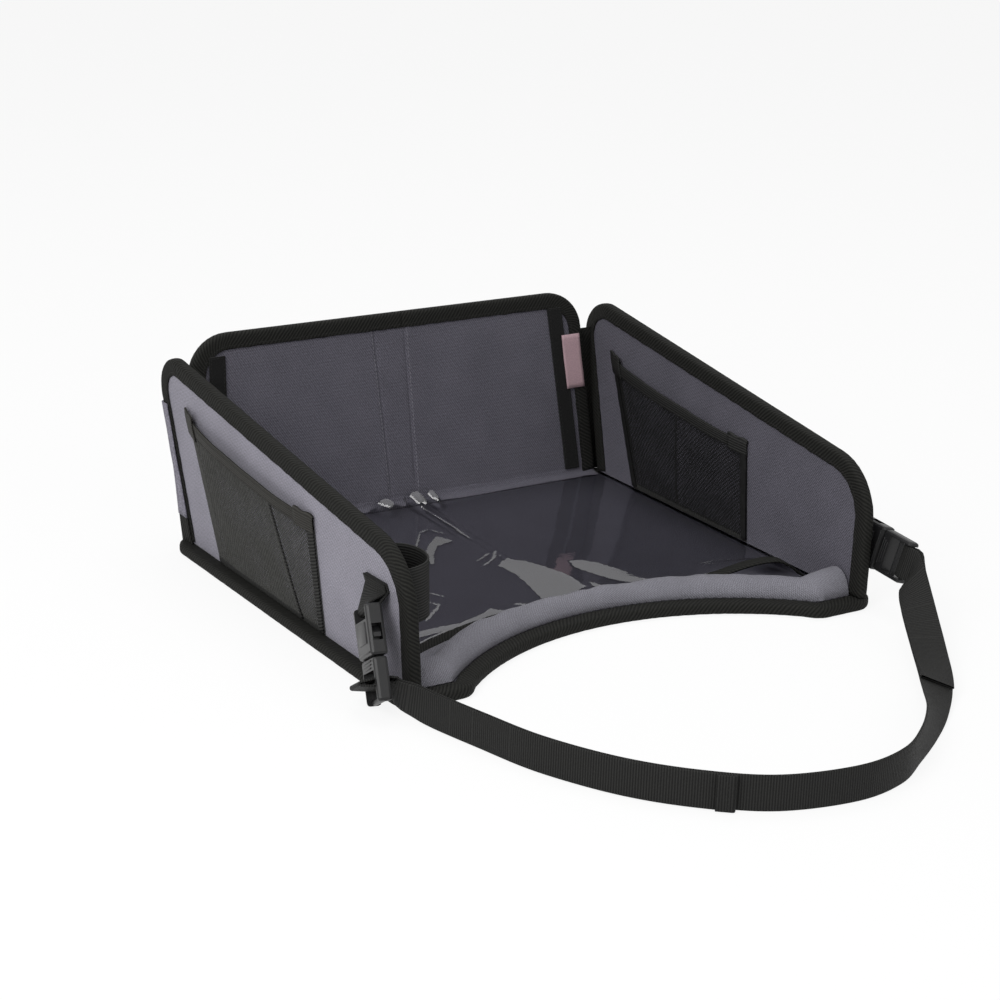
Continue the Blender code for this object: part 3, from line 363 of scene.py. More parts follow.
def woven(name, colour, pitch=1.35 * MM, contrast=1.0):
    """Plain-woven polyester with a faint heather."""
    look = Look(name, colour, 0.85)
    u, v, uv = look.across()
    warp = look.wave(u, v, 0.82, 0.57, pitch)
    weft = look.wave(u, v, -0.57, 0.82, pitch)
    twist = look.math("MULTIPLY_ADD", warp, 0.5, look.math("MULTIPLY", warp, weft))
    blotch = look.math("MULTIPLY", look.noise(uv, 38, 3), 0.3)
    yarn = look.noise(uv, YARN_SCALE)
    mixed = look.math("ADD", yarn, look.math("MULTIPLY_ADD", twist, 0.4, blotch))
    look.ramp(mixed, (0.05, 1.25), colour, (1 - 0.6 * contrast, 1 + 0.6 * contrast))
    look.rough(yarn, 0.7, 0.95)
    return look.finish(look.math("ADD", twist, yarn), 0.14 * MM, 0.7, 0.2, 0.05)


def twill(name, colour, pitch=2.7 * MM):
    """Binding tape with slanted ribs, their crests lighter: partly the yarn's own tone, partly painted
    highlight.
    """
    look = Look(name, colour, 0.8)
    u, v, uv = look.across()
    bent = look.math("MULTIPLY_ADD", look.noise(uv, 60), 0.004, u)
    rib = look.wave(bent, v, 1.0, 0.75, pitch)
    thread = look.wave(u, v, -0.4, 1.0, 0.62 * MM)
    fibre = look.noise(uv, YARN_SCALE)
    sharp = look.math("MULTIPLY", rib, look.math("ABSOLUTE", rib))
    mixed = look.math("MULTIPLY_ADD", thread, 0.25, sharp)
    mixed = look.math("MULTIPLY_ADD", fibre, 1.3, mixed)
    # Rib crests up to 2.3 times the black: partly thread tone, partly painted highlight
    look.ramp(mixed, (-0.5, 2.0), colour, (0.35, 2.3))
    look.rough(fibre, 0.6, 0.9)
    return look.finish(mixed, 0.2 * MM, 0.8, 0.1)


def ribbed(name, colour, pitch, lengthwise, light):
    """Webbing or elastic: fine ribs across the band or along it."""
    look = Look(name, colour, 0.6)
    u, v, uv = look.across()
    a, b = (0.0, 1.0) if lengthwise else (1.0, 0.0)
    rib = look.wave(u, v, a, b, pitch)
    cross = look.wave(u, v, b, a, 0.8 * MM)
    fibre = look.noise(uv, YARN_SCALE)
    mixed = look.math("MULTIPLY_ADD", cross, 0.25, rib)
    mixed = look.math("MULTIPLY_ADD", fibre, 1.2, mixed)
    look.ramp(mixed, (-0.6, 1.9), colour, (0.45, light))
    look.rough(fibre, 0.5, 0.75)
    return look.finish(mixed, 0.16 * MM, 0.7, 0.12)


def laddered(name, colour, pitch):
    """Doubled net: dark holes between cross threads."""
    look = Look(name, colour, 0.7)
    u, v, uv = look.across()
    rib = look.wave(u, v, 1.0, 0.35, pitch)
    mixed = look.math("MULTIPLY_ADD", look.noise(uv, 700), 1.4, rib)
    look.ramp(mixed, (-0.3, 1.8), colour, (0.3, 1.7))
    return look.finish(mixed, 0.3 * MM, 0.9, 0.15)


def fuzzy(name, colour, scale):
    """Brushed or hooked cloth."""
    look = Look(name, colour, 0.95)
    spot = look.noise(look.place(), scale, 4)
    look.ramp(spot, (0.3, 0.75), colour, (0.5, 1.5))
    return look.finish(spot, 0.5 * MM, 0.9, 0.15, 0.08)


def plastic(name, colour, roughness):
    look = Look(name, colour, roughness)
    grain = look.noise(look.place(), 1600)
    soft = look.noise(look.place(), 60)
    look.ramp(soft, (0.3, 0.7), colour, (0.85, 1.2))
    look.rough(soft, roughness - 0.06, roughness + 0.08)
    return look.finish(grain, 0.05 * MM, 0.35, 0.3)


def plain(name, colour, roughness):
    look = Look(name, colour, roughness)
    spot = look.noise(look.place(), 400, 3)
    look.ramp(spot, (0.3, 0.7), colour, (0.8, 1.2))
    return look.finish(spot, 0.1 * MM, 0.4, 0.12)


def clear_film():
    """Glossy see-through film."""
    look = Look("clear_film", (1, 1, 1), 0.03)
    nodes = look.tree.nodes
    links = look.tree.links
    nodes.remove(look.shader)
    clear = nodes.new("ShaderNodeBsdfTransparent")
    clear.inputs["Color"].default_value = (0.955, 0.96, 0.975, 1)
    gloss = nodes.new("ShaderNodeBsdfGlossy")
    gloss.inputs["Roughness"].default_value = 0.05
    links.new(look.bump(look.noise(look.place(), 75), 0.35 * MM, 0.5), gloss.inputs["Normal"])
    facing = nodes.new("ShaderNodeFresnel")
    facing.inputs["IOR"].default_value = 2.3
    mix = nodes.new("ShaderNodeMixShader")
    for socket, source in enumerate((facing, clear, gloss)):
        links.new(source.outputs[0], mix.inputs[socket])
    links.new(mix.outputs[0], nodes["Material Output"].inputs["Surface"])
    return look.material


# Mesh helpers

def made(name, shape, look, crease=50):
    mesh = bpy.data.meshes.new(name)
    bmesh.ops.recalc_face_normals(shape, faces=shape.faces)
    shape.to_mesh(mesh)
    shape.free()
    piece = bpy.data.objects.new(name, mesh)
    bpy.context.scene.collection.objects.link(piece)
    mesh.materials.append(look)
    mesh.polygons.foreach_set("use_smooth", [True] * len(mesh.polygons))
    mesh.set_sharp_from_angle(angle=math.radians(crease))
    return piece


def applied(piece):
    """The piece with its modifiers worked into its mesh."""
    graph = bpy.context.evaluated_depsgraph_get()
    mesh = bpy.data.meshes.new_from_object(piece.evaluated_get(graph))
    old = piece.data
    piece.modifiers.clear()
    piece.data = mesh
    name = old.name
    bpy.data.meshes.remove(old)
    mesh.name = name
    return piece


def thickened(piece, thickness, offset=0.0):
    solid = piece.modifiers.new("thickness", "SOLIDIFY")
    solid.thickness = thickness
    solid.offset = offset
    solid.use_even_offset = True
    return applied(piece)


def set_uv(shape, flat):
    """Cloth coordinates in metres for every corner, from a function of the vertex."""
    layer = shape.loops.layers.uv.new("cloth")
    for face in shape.faces:
        for loop in face.loops:
            loop[layer].uv = flat(loop.vert)


def ribbon(name, rails, look, thickness, offset=0.0, loop=False, crease=50):
    """A band of cloth between rails of points, with its coordinates along and across."""
    shape = bmesh.new()
    layer = shape.loops.layers.uv.new("cloth")
    grid = [[shape.verts.new(p) for p in rail] for rail in rails]
    middle = rails[len(rails) // 2]
    along = [0.0]
    count = len(middle)
    for i in range(1, count + 1):
        along.append(along[-1] + (middle[i % count] - middle[i - 1]).length)
    across = [0.0]
    for one, two in zip(rails, rails[1:]):
        across.append(across[-1] + (two[count // 2] - one[count // 2]).length)
    spans = count if loop else count - 1
    for j in range(len(rails) - 1):
        for i in range(spans):
            k = (i + 1) % count
            corners = (grid[j][i], grid[j][k], grid[j + 1][k], grid[j + 1][i])
            flats = ((i, j), (i + 1, j), (i + 1, j + 1), (i, j + 1))
            face = shape.faces.new(corners)
            for corner, (a, b) in zip(face.loops, flats):
                corner[layer].uv = (along[a], across[b])
    piece = made(name, shape, look, crease)
    if thickness:
        thickened(piece, thickness, offset)
    return piece


def resampled(path, step, loop=False):
    """The same path with points at an even step, its corners kept."""
    points = []
    count = len(path)
    for i in range(count if loop else count - 1):
        a, b = path[i], path[(i + 1) % count]
        parts = max(1, round((b - a).length / step))
        points += [a.lerp(b, k / parts) for k in range(parts)]
    if not loop:
        points.append(path[-1])
    return points


def rounded(corners, step=math.radians(9)):
    """A path through (x, y, radius) corners, its ends square and its corners arcs."""
    points = []
    last = len(corners) - 1
    for i, (x, y, radius) in enumerate(corners):
        here = Vector((x, y))
        if i in (0, last) or radius == 0:
            points.append(here)
            continue
        back = (Vector(corners[i - 1][:2]) - here).normalized()
        ahead = (Vector(corners[i + 1][:2]) - here).normalized()
        half = back.angle(ahead) / 2
        turn = math.pi - 2 * half
        centre = here + (back + ahead).normalized() * (radius / math.sin(half))
        start = here + back * (radius / math.tan(half)) - centre
        sign = 1 if back.x * ahead.y - back.y * ahead.x < 0 else -1
        count = max(2, math.ceil(turn / step))
        for k in range(count + 1):
            arm = start.copy()
            arm.rotate(Matrix.Rotation(sign * turn * k / count, 2))
            points.append(centre + arm)
    return points


def flipped(path):
    return [Vector((-p.x, p.y)) for p in reversed(path)]


def shifted(path, distance, loop):
    """The path moved to its left. distance may be a number or one number a point."""
    moved = []
    count = len(path)
    for i, here in enumerate(path):
        before = path[i - 1] if i or loop else None
        after = path[(i + 1) % count] if i < count - 1 or loop else None
        runs = []
        if before is not None:
            runs.append((here - before).normalized())
        if after is not None:
            runs.append((after - here).normalized())
        normals = [Vector((-r.y, r.x)) for r in runs]
        middle = sum(normals, Vector((0, 0))).normalized()
        far = distance[i] if isinstance(distance, list) else distance
        moved.append(here + middle * (far / middle.dot(normals[0])))
    return moved


def arc_points(radius, centre_y, x_from, x_to, count):
    points = []
    for k in range(count + 1):
        x = x_from + (x_to - x_from) * k / count
        points.append((x, centre_y + math.sqrt(radius**2 - x**2)))
    return points


def edge_distance(outline, x, y):
    """How far a point lies from the outline's nearest side."""
    here = Vector((x, y))
    best = 1.0
    for a, b in zip(outline, outline[1:] + outline[:1]):
        side = b - a
        if side.length_squared == 0:
            continue
        share = min(1, max(0, (here - a).dot(side) / side.length_squared))
        best = min(best, (here - a - side * share).length)
    return best


def inside(outline, x, y):
    """Whether a point lies inside an outline."""
    odd = False
    for a, b in zip(outline, outline[1:] + outline[:1]):
        if (a.y > y) != (b.y > y) and x < a.x + (y - a.y) * (b.x - a.x) / (b.y - a.y):
            odd = not odd
    return odd


def ease(value):
    value = min(1, max(0, value))
    return value * value * (3 - 2 * value)


def bump_at(value, centre, width):
    """1 at the centre, falling smoothly to 0 at the width."""
    return ease(1 - abs(value - centre) / width)


def cloth_plate(name, outline, place, lift, thickness, look, relief=None, step=5 * MM, cuts=()):
    """A flat piece of cloth with a fine grid, raised by relief(x, y). cuts are (point, normal) pairs."""
    shape = bmesh.new()
    shape.faces.new([shape.verts.new((p.x, p.y, 0)) for p in outline])
    for axis in (0, 1):
        low = min(p[axis] for p in outline)
        high = max(p[axis] for p in outline)
        count = int((high - low) / step)
        normal = (1, 0, 0) if axis == 0 else (0, 1, 0)
        for k in range(1, count + 1):
            cut = [0, 0, 0]
            cut[axis] = low + (high - low) * k / (count + 1)
            everything = shape.verts[:] + shape.edges[:] + shape.faces[:]
            bmesh.ops.bisect_plane(shape, geom=everything, plane_co=cut, plane_no=normal)
    for point, normal in cuts:
        everything = shape.verts[:] + shape.edges[:] + shape.faces[:]
        bmesh.ops.bisect_plane(shape, geom=everything, plane_co=point, plane_no=normal)
    set_uv(shape, lambda vert: (vert.co.x, vert.co.y))
    for vert in shape.verts:
        rise = relief(vert.co.x, vert.co.y) if relief else 0
        vert.co = place @ Vector((vert.co.x, vert.co.y, lift + rise))
    piece = made(name, shape, look)
    if thickness:
        thickened(piece, thickness)
        piece.data.set_sharp_from_angle(angle=math.radians(50))
    return piece


def stitches(name, lines, body, look, pitch=3 * MM, length=2.1 * MM, radius=0.2 * MM):
    """Rows of raised thread. Each line is a list of points on the cloth."""
    shape = bmesh.new()
    for points in lines:
        walked = [0.0]
        for a, b in zip(points, points[1:]):
            walked.append(walked[-1] + (b - a).length)
        count = int(walked[-1] / pitch)
        i = 0
        for k in range(count):
            far = (k + 0.5) * pitch
            while i < len(walked) - 2 and walked[i + 1] < far:
                i += 1
            share = (far - walked[i]) / max(1e-9, walked[i + 1] - walked[i])
            middle = points[i].lerp(points[i + 1], share)
            run = (points[i + 1] - points[i]).normalized()
            side = run.cross(Vector((0.13, 0.29, 0.95))).normalized()
            up = run.cross(side)
            rings = []
            for reach, swell in ((-0.5, 0.35), (-0.25, 1), (0.25, 1), (0.5, 0.35)):
                ring = []
                for corner in range(6):
                    angle = corner * math.pi / 3
                    arm = side * math.cos(angle) + up * math.sin(angle)
                    ring.append(shape.verts.new(middle + run * length * reach + arm * radius * swell))
                rings.append(ring)
            for one, two in zip(rings, rings[1:]):
                for corner in range(6):
                    nxt = (corner + 1) % 6
                    shape.faces.new((one[corner], one[nxt], two[nxt], two[corner]))
            shape.faces.new(rings[0])
            shape.faces.new(rings[-1])
    piece = made(name, shape, look)
    if body:
        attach(piece, body)
    return piece


def fitted(piece, body, slot, *nodes):
    """Hang a piece on its body and hide the solids it stands for. The slot is not used."""
    if body:
        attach(piece, body)
    if nodes:
        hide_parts(*nodes)
    return piece


# Frames of the panels and buckles

def frame_of(x_axis, y_axis, origin):
    x = Vector(x_axis).normalized()
    z = x.cross(Vector(y_axis)).normalized()
    y = z.cross(x)
    return Matrix.Translation(origin) @ Matrix((x, y, z)).transposed().to_4x4()


def side_frame(side):
    if side == "left":
        up = (-math.sin(LEFT_LEAN), 0, math.cos(LEFT_LEAN))
        return frame_of((0, 1, 0), up, (-WALL_X, 0, WALL_FOOT))
    up = (math.sin(RIGHT_LEAN), 0, math.cos(RIGHT_LEAN))
    return frame_of((0, -1, 0), up, (WALL_X, 0, WALL_FOOT))


def back_frame():
    up = (0, math.sin(BACK_LEAN), math.cos(BACK_LEAN))
    middle_y = BACK_INNER_Y + BOUND / 2 / math.cos(BACK_LEAN)
    return frame_of((1, 0, 0), up, (0, middle_y, WALL_FOOT))


def on_side(side, y, height, inward):
    along = y if side == "left" else -y
    return side_frame(side) @ Vector((along, height, inward))


def wall_top_at(y):
    drop = FRONT_DROP * (SIDE_BACK_Y - y) / (SIDE_BACK_Y - SIDE_FRONT_Y)
    return WALL_HEIGHT - FIT - drop


def buckle_frame(side):
    """Frame of a buckle at its socket's bar: x along the bar, z back towards the plug."""
    if side == "left":
        turn, lean = math.radians(13), math.radians(30)
        along = Vector((math.sin(turn), math.cos(turn), 0))
        length = -math.sin(lean) * along - math.cos(lean) * UP
        bar = math.cos(lean) * along - math.sin(lean) * UP
        place = Vector((-(WALL_X + PANEL / 2 + 15 * MM), SIDE_FRONT_Y + 28 * MM, 54 * MM))
    else:
        turn, dip, roll = math.radians(-4), math.radians(2), math.radians(16)
        level = Vector((math.sin(turn), -math.cos(turn), 0))
        length = math.cos(dip) * level - math.sin(dip) * UP
        down = -math.cos(roll) * UP - math.sin(roll) * Vector((1, 0, 0))
        bar = (down - length * down.dot(length)).normalized()
        place = Vector((WALL_X + PANEL / 2 + 12 * MM, SIDE_FRONT_Y + 27 * MM, 40 * MM))
    return frame_of(bar, length.cross(bar), place)


# Panels

def floor_path():
    edge_x = HALF_WIDTH - TAPE_OUT
    edge_y = HALF_DEPTH - TAPE_OUT
    arc = arc_points(CUT_RADIUS + TAPE_OUT, CUT_CENTRE_Y, 0, CUT_HALF_WIDTH - TAPE_OUT, 16)
    corners = [(x, y, 0) for x, y in arc[:-1]]
    corners.append((arc[-1][0], -edge_y, HORN_CORNER))
    corners.append((edge_x, -edge_y, FLOOR_CORNER))
    corners.append((edge_x, edge_y, FLOOR_CORNER))
    corners.append((0, edge_y, 0))
    right = rounded(corners)
    return right + flipped(right)[1:-1]


def side_path():
    """Edge of a side wall from its foot at the back, up the slanted rear edge, to the front."""
    back = SIDE_BACK_Y - TAPE_OUT
    front = SIDE_FRONT_Y + TAPE_OUT
    fall = FRONT_DROP / (SIDE_BACK_Y - SIDE_FRONT_Y)
    top = (wall_top_at(back) - TAPE_OUT) / (1 - fall * REAR_SLANT)
    return rounded(
        [
            (back, 0, 0),
            (back + REAR_SLANT * top, top, REAR_CORNER),
            (front, wall_top_at(front) - TAPE_OUT, WALL_FRONT_CORNER),
            (front, 0, 0),
        ]
    )


def parted(path):
    """The path's rear part and front part, cut where the rear corner starts to fold."""
    for i in range(1, len(path)):
        if path[i].x < REAR_SPLIT < path[i - 1].x and path[i].y > REAR_CORNER:
            share = (path[i - 1].x - REAR_SPLIT) / (path[i - 1].x - path[i].x)
            cut = path[i - 1].lerp(path[i], share)
            return path[:i] + [cut], [cut] + path[i:]


def back_path(side):
    top = (BACK_HEIGHT - FIT) / math.cos(BACK_LEAN) - TAPE_OUT
    end = BACK_HALF_WIDTH - TAPE_OUT
    taper = 0.5 * MM if side == "left" else BACK_TAPER + 4 * MM
    foot = BOUND * math.tan(BACK_LEAN) + (TAPE_FLAP + FIT) * BACK_TAPER / BACK_HEIGHT
    path = rounded([(end, foot, 0), (end - taper, top, BACK_CORNER), (HAIRLINE, top, 0)])
    outline = [Vector((HAIRLINE, foot))] + path
    if side == "left":
        return flipped(path), flipped(outline)
    return path, outline


def tape_section():
    """Outer line of the folded tape, from the inner flap's edge round the nose."""
    face = PANEL / 2 + FIT + TAPE
    nose = -TAPE_OUT
    half = [
        (TAPE_FLAP + 0.3 * MM, face - 0.7 * MM, 1.0),
        (TAPE_FLAP + 0.1 * MM, face - 0.15 * MM, 1.0),
        (TAPE_FLAP - 1 * MM, face, 0.8),
        (TAPE_FLAP - 2 * MM, face - 0.12 * MM, 0.5),
        (TAPE_FLAP - 3.2 * MM, face, 0.3),
        (3 * MM, face, 0.0),
        (0.8 * MM, face, 0.0),
        (-0.5 * MM, face - 0.35 * MM, 0.0),
        (-1.25 * MM, face - 1.2 * MM, 0.0),
        (nose, face - 2.4 * MM, 0.0),
    ]
    return half + [(inward, -height, wander) for inward, height, wander in reversed(half)]


def bound_edge(name, path, place, loop):
    """Twill tape folded over a panel's edge, a little puckered by its stitching."""
    path = resampled(path, 2.4 * MM, loop)
    rails = []
    for j, (inward, height, wander) in enumerate(tape_section()):
        side = 1 if height > 0 else -1
        reach = []
        for i in range(len(path)):
            x, y = path[i]
            wobble = noise.noise(Vector((x * 160, y * 160, 7.0 * side)))
            reach.append(inward + 0.45 * MM * wander * wobble)
        moved = shifted(path, reach, loop)
        rail = []
        for p in moved:
            pucker = noise.noise(Vector((p.x * 330, p.y * 330, j * 0.5)))
            rail.append(place @ Vector((p.x, p.y, height + side * 0.16 * MM * pucker)))
        rails.append(rail)
    return ribbon(name, rails, TAPE_LOOK, 0.55 * MM, -1.0, loop, 60)


def tape_stitches(name, path, place, loop, body):
    """The two rows of stitching through a panel's tape."""
    path = resampled(path, 3 * MM, loop)
    row = shifted(path, TAPE_FLAP - 2 * MM, loop)
    if loop:
        row.append(row[0])
    face = PANEL / 2 + FIT + TAPE - 0.05 * MM
    lines = [[place @ Vector((p.x, p.y, side * face)) for p in row] for side in (1, -1)]
    return stitches(name, lines, body, THREAD_LOOK, radius=0.17 * MM)


def floor():
    place = Matrix.Translation((0, 0, BOUND / 2))
    path = floor_path()

    def sag(x, y):
        return -0.3 * MM * bump_at(x, 0, 9 * MM)

    def puffed(x, y):
        return -1.05 * MM * ease((edge_distance(path, x, y) - TAPE_FLAP) / (5 * MM))

    inner = cloth_plate("floor_top_cloth", path, place, COVER_LIFT, COVER, FLOOR_LOOK, sag, 6 * MM)
    outer = cloth_plate("floor_under_cloth", path, place, -COVER_LIFT, COVER, OUTER_LOOK, puffed, 8 * MM)
    tape = bound_edge("floor_edge_tape", path, place, True)
    rows = tape_stitches("floor_edge_stitches", path, place, True, None)
    for piece, node, slot in (
        (inner, "floor_inner_cover", "grey_fabric"),
        (outer, "floor_outer_cover", "grey_fabric"),
        (tape, "floor_binding", "black_tape"),
        (rows, None, "black_tape"),
    ):
        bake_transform(piece)
        fitted(piece, None, slot, *([f"{node}_left", f"{node}_right"] if node else []))


def puff(outline, amount, waves, seed):
    """Relief of a padded panel: flat beside the tape, soft ripples inside."""

    def relief(x, y):
        inside = ease((edge_distance(outline, x, y) - 8 * MM) / (14 * MM))
        ripple = noise.noise(Vector((x * waves[0], y * waves[1], seed)))
        fine = noise.noise(Vector((x * 90, y * 90, seed + 4)))
        return inside * (amount + 0.35 * MM * ripple + 0.08 * MM * fine)

    return relief


def side_wall(side):
    """A side wall in two pieces, parted at its rear corner, which on the real tray crumples when the wall
    folds down.
    """
    path = side_path()
    rear, front = parted(path)
    split = front[0].x
    foot = Vector((split, 0))
    body = f"{side}_wall"
    seed, inward = (3.0, 1) if side == "left" else (9.0, -1)
    soft = puff(path, 0.25 * MM, (14, 22), seed)
    place = side_frame(side) @ Matrix.Diagonal((inward, 1, inward, 1))

    def relief(x, y):
        return inward * soft(x, y)

    def counter_relief(x, y):
        return -inward * soft(x, y)

    for part, line, outline in (("rear", rear, rear + [foot]), ("front", front, [foot] + front)):
        stem = f"{side}_wall_{part}"
        lift = inward * COVER_LIFT
        inner = cloth_plate(f"{stem}_inner_cloth", outline, place, lift, COVER, SHADED_INNER_LOOK, relief)
        outer = cloth_plate(f"{stem}_outer_cloth", outline, place, -lift, COVER, OUTER_LOOK, counter_relief)
        tape = bound_edge(f"{stem}_tape", line, place, False)
        rows = tape_stitches(f"{stem}_stitches", line, place, False, body)
        for piece, slot, node in (
            (inner, "grey_fabric", "side_inner_cover"),
            (outer, "grey_fabric", "side_outer_cover"),
            (tape, "black_tape", "side_binding"),
        ):
            fitted(piece, body, slot, *([f"{node}_{side}"] if part == "front" else []))
        if part == "rear":
            for piece in (inner, outer, tape, rows):
                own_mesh(piece)


def back_wall(side):
    """A half of the back wall, with the slanted channel and stitches of its middle seam."""
    place = back_frame()
    path, outline = back_path(side)
    body = f"back_{side}"
    sign = SIGNS[side]
    seed, foot_x, drift = (5.0, 10.2 * MM, 12.5 * MM) if side == "left" else (12.0, 9.2 * MM, -7.6 * MM)
    soft = puff(outline, 0.3 * MM, (26, 7), seed)

    def seam_x(y):
        return foot_x + drift * y / BACK_HEIGHT

    def relief(x, y):
        near = abs(x) - seam_x(y)
        channel = 0.4 * MM * bump_at(near, 3.4 * MM, 2.6 * MM) - 0.8 * MM * bump_at(near, 0, 1.6 * MM)
        edge = ease((abs(x) - 26 * MM) / (16 * MM))
        bottom = ease((y - 4 * MM) / (10 * MM))
        return channel * bottom + edge * soft(x, y)

    def counter_relief(x, y):
        return -relief(x, y)

    along = Vector((sign * drift, BACK_HEIGHT)).normalized()
    normal = (along.y, -along.x, 0)
    cuts = [((sign * (foot_x + off * MM), 0, 0), normal) for off in (-1.6, -0.8, 0, 0.8, 1.6, 3.4, 6)]
    fine = 4 * MM
    inner = cloth_plate(
        f"{body}_inner_cloth", outline, place, COVER_LIFT, COVER, SHADED_INNER_LOOK, relief, fine, cuts
    )
    outer = cloth_plate(
        f"{body}_outer_cloth", outline, place, -COVER_LIFT, COVER, OUTER_LOOK, counter_relief, fine, cuts
    )
    tape = bound_edge(f"back_{side}_edge_tape", path, place, False)
    rows = tape_stitches(f"back_{side}_edge_stitches", path, place, False, body)
    foot = TAPE_FLAP * 0.6
    top = BACK_HEIGHT - TAPE_FLAP
    seam = []
    for face in (1, -1):
        line = []
        for k in range(41):
            y = foot + (top - foot) * k / 40
            spot = (sign * (seam_x(y) + 1.9 * MM), y, face * (PANEL / 2 + 0.32 * MM))
            line.append(place @ Vector(spot))
        seam.append(line)
    thread = stitches(f"back_{side}_seam_stitches", seam, body, SEAM_LOOK, 3.0 * MM, 2.1 * MM, 0.26 * MM)
    fitted(inner, body, "grey_fabric", f"back_inner_cover_{side}")
    fitted(outer, body, "grey_fabric", f"back_outer_cover_{side}")
    fitted(tape, body, "black_tape", f"back_binding_{side}")
    fold_cloth(side)


def fold_cloth(side):
    """Cover cloth running from the floor up to the back wall's foot."""
    sign = SIGNS[side]
    end = BACK_HALF_WIDTH - 1 * MM
    profile = [(138, 6.6), (140, 7.1), (141.8, 7.4), (143.6, 7.9), (144.9, 8.8), (145.4, 9.8)]
    profile += [(145.7, 11.0), (146.2, 12.5)]
    rails = []
    for y, z in profile:
        rail = []
        for k in range(61):
            x = HAIRLINE + (end - HAIRLINE) * k / 60
            soft = abs(0.3 * MM * noise.noise(Vector((sign * x * 60, z * 0.3, 4))))
            rail.append(Vector((sign * x, y * MM - soft, z * MM + soft)))
        rails.append(rail)
    piece = ribbon(f"back_fold_cloth_{side}", rails, SHADED_INNER_LOOK, 0.5 * MM, 0, False, 80)
    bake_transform(piece)


# Clear sheet and its tape

def sheet_arc():
    apex = -HALF_DEPTH + CUT_DEPTH + PAD_WIDTH
    end = -HALF_DEPTH + PAD_END_WIDTH
    sagitta = apex - end
    radius = (WALL_INNER_X**2 + sagitta**2) / (2 * sagitta)
    return radius, apex - radius


def sheet_front(x):
    radius, centre_y = sheet_arc()
    return centre_y + math.sqrt(radius**2 - x**2)


def edge_lift(x):
    """How far the clear sheet's front edge stands off the floor."""
    right = 13 * MM * bump_at(x, 135 * MM, (56 if x < 135 * MM else 24) * MM)
    middle = 1.2 * MM * bump_at(x, 20 * MM, 40 * MM)
    return right + middle


def sheet_rise(x, y):
    """Height of the clear sheet's soft folds above its level."""
    ahead = y - sheet_front(x)
    back = 142 * MM - y
    rise = 0.5 * MM * (0.5 + noise.noise(Vector((x * 16, y * 11, 2.0))))
    rise += 0.25 * MM * (0.5 + noise.noise(Vector((x * 34, y * 26, 6.0))))
    near = ease(1 - ahead / (30 * MM))
    rise += 1.6 * MM * near * ease(ahead / (9 * MM)) * (0.55 + noise.noise(Vector((x * 22, 0, 4.0))))
    rise += edge_lift(x) * ease(1 - ahead / (45 * MM))
    share = (142 * MM - y) / (150 * MM)
    crease = abs(x - 5 * MM + 6 * MM * share)
    ridge = math.exp(-((crease - 3 * MM) / (2.2 * MM)) ** 2)
    rise += (0.7 * MM + 1.6 * MM * ease((y - 70 * MM) / (60 * MM))) * ridge
    for middle, half, tall in ((-19, 14, 7), (5, 8, 8), (18, 7, 8)):
        rise += tall * MM * ease(1 - back / (22 * MM)) * bump_at(x, middle * MM, half * MM)
    side = ease((WALL_INNER_X - 2 * MM - abs(x)) / (12 * MM))
    return max(0.0, rise) * side


def film_tip(x, y):
    """How far the film is tipped towards the light at a point, 0 to 1."""
    tip = 0.0
    for half, spots in FILM_FOLDS:
        reach = half + 3 * MM
        if not min(p.x for p in spots) - reach < x < max(p.x for p in spots) + reach:
            continue
        if not min(p.y for p in spots) - reach < y < max(p.y for p in spots) + reach:
            continue
        if half:
            depth = half - edge_distance(spots + spots[-2:0:-1], x, y)
        else:
            depth = edge_distance(spots, x, y) * (1 if inside(spots, x, y) else -1)
        ragged = 0.8 * MM * noise.noise(Vector((x * 240, y * 240, 5)))
        tip = max(tip, ease(0.5 + (depth + ragged) / (1.5 * MM)))
    return tip


def film_outline(side):
    """Flat outline of half the clear sheet."""
    edge_x = HALF_WIDTH - TAPE_OUT - TAPE_FLAP - FIT
    edge_y = HALF_DEPTH - TAPE_OUT - TAPE_FLAP - FIT
    radius, centre_y = sheet_arc()
    front = arc_points(radius, centre_y, HAIRLINE, edge_x, 24)
    corners = [(x, y, 0) for x, y in front]
    corners.append((edge_x, edge_y, FLOOR_CORNER - TAPE_FLAP - FIT))
    corners.append((HAIRLINE, edge_y, 0))
    outline = rounded(corners)
    flat = (edge_x, edge_y - sheet_front(edge_x))
    return (flipped(outline) if side == "left" else outline), flat


def film_normal(vert):
    """Where the film faces at a vertex: nearly up, or tipped to the light in its folds."""
    x, y, z = vert.co
    tip = film_tip(x, y)
    if y > 125 * MM:
        tip = max(tip, ease((z - SHEET_LEVEL - 3.6 * MM) / (2 * MM)))
    lean_x = 0.02 * noise.noise(Vector((x * 18, y * 12, 3)))
    lean_x += 0.03 * tip * noise.noise(Vector((x * 60, y * 30, 8)))
    lean_y = 0.018 * noise.noise(Vector((x * 14, y * 20, 9)))
    forward = FOLD_LEAN + REAR_FOLD_LEAN * max(0.0, (y - 5 * MM) / (135 * MM))
    tipped = Vector((lean_x, lean_y - forward, 1)) if tip else Vector((0, 0, 1))
    flatness = 1 - ease((1 - vert.normal.z) / 0.02)
    natural = vert.normal.lerp(Vector((lean_x, lean_y, 1)).normalized(), flatness)
    return natural.lerp(tipped.normalized(), tip).normalized()


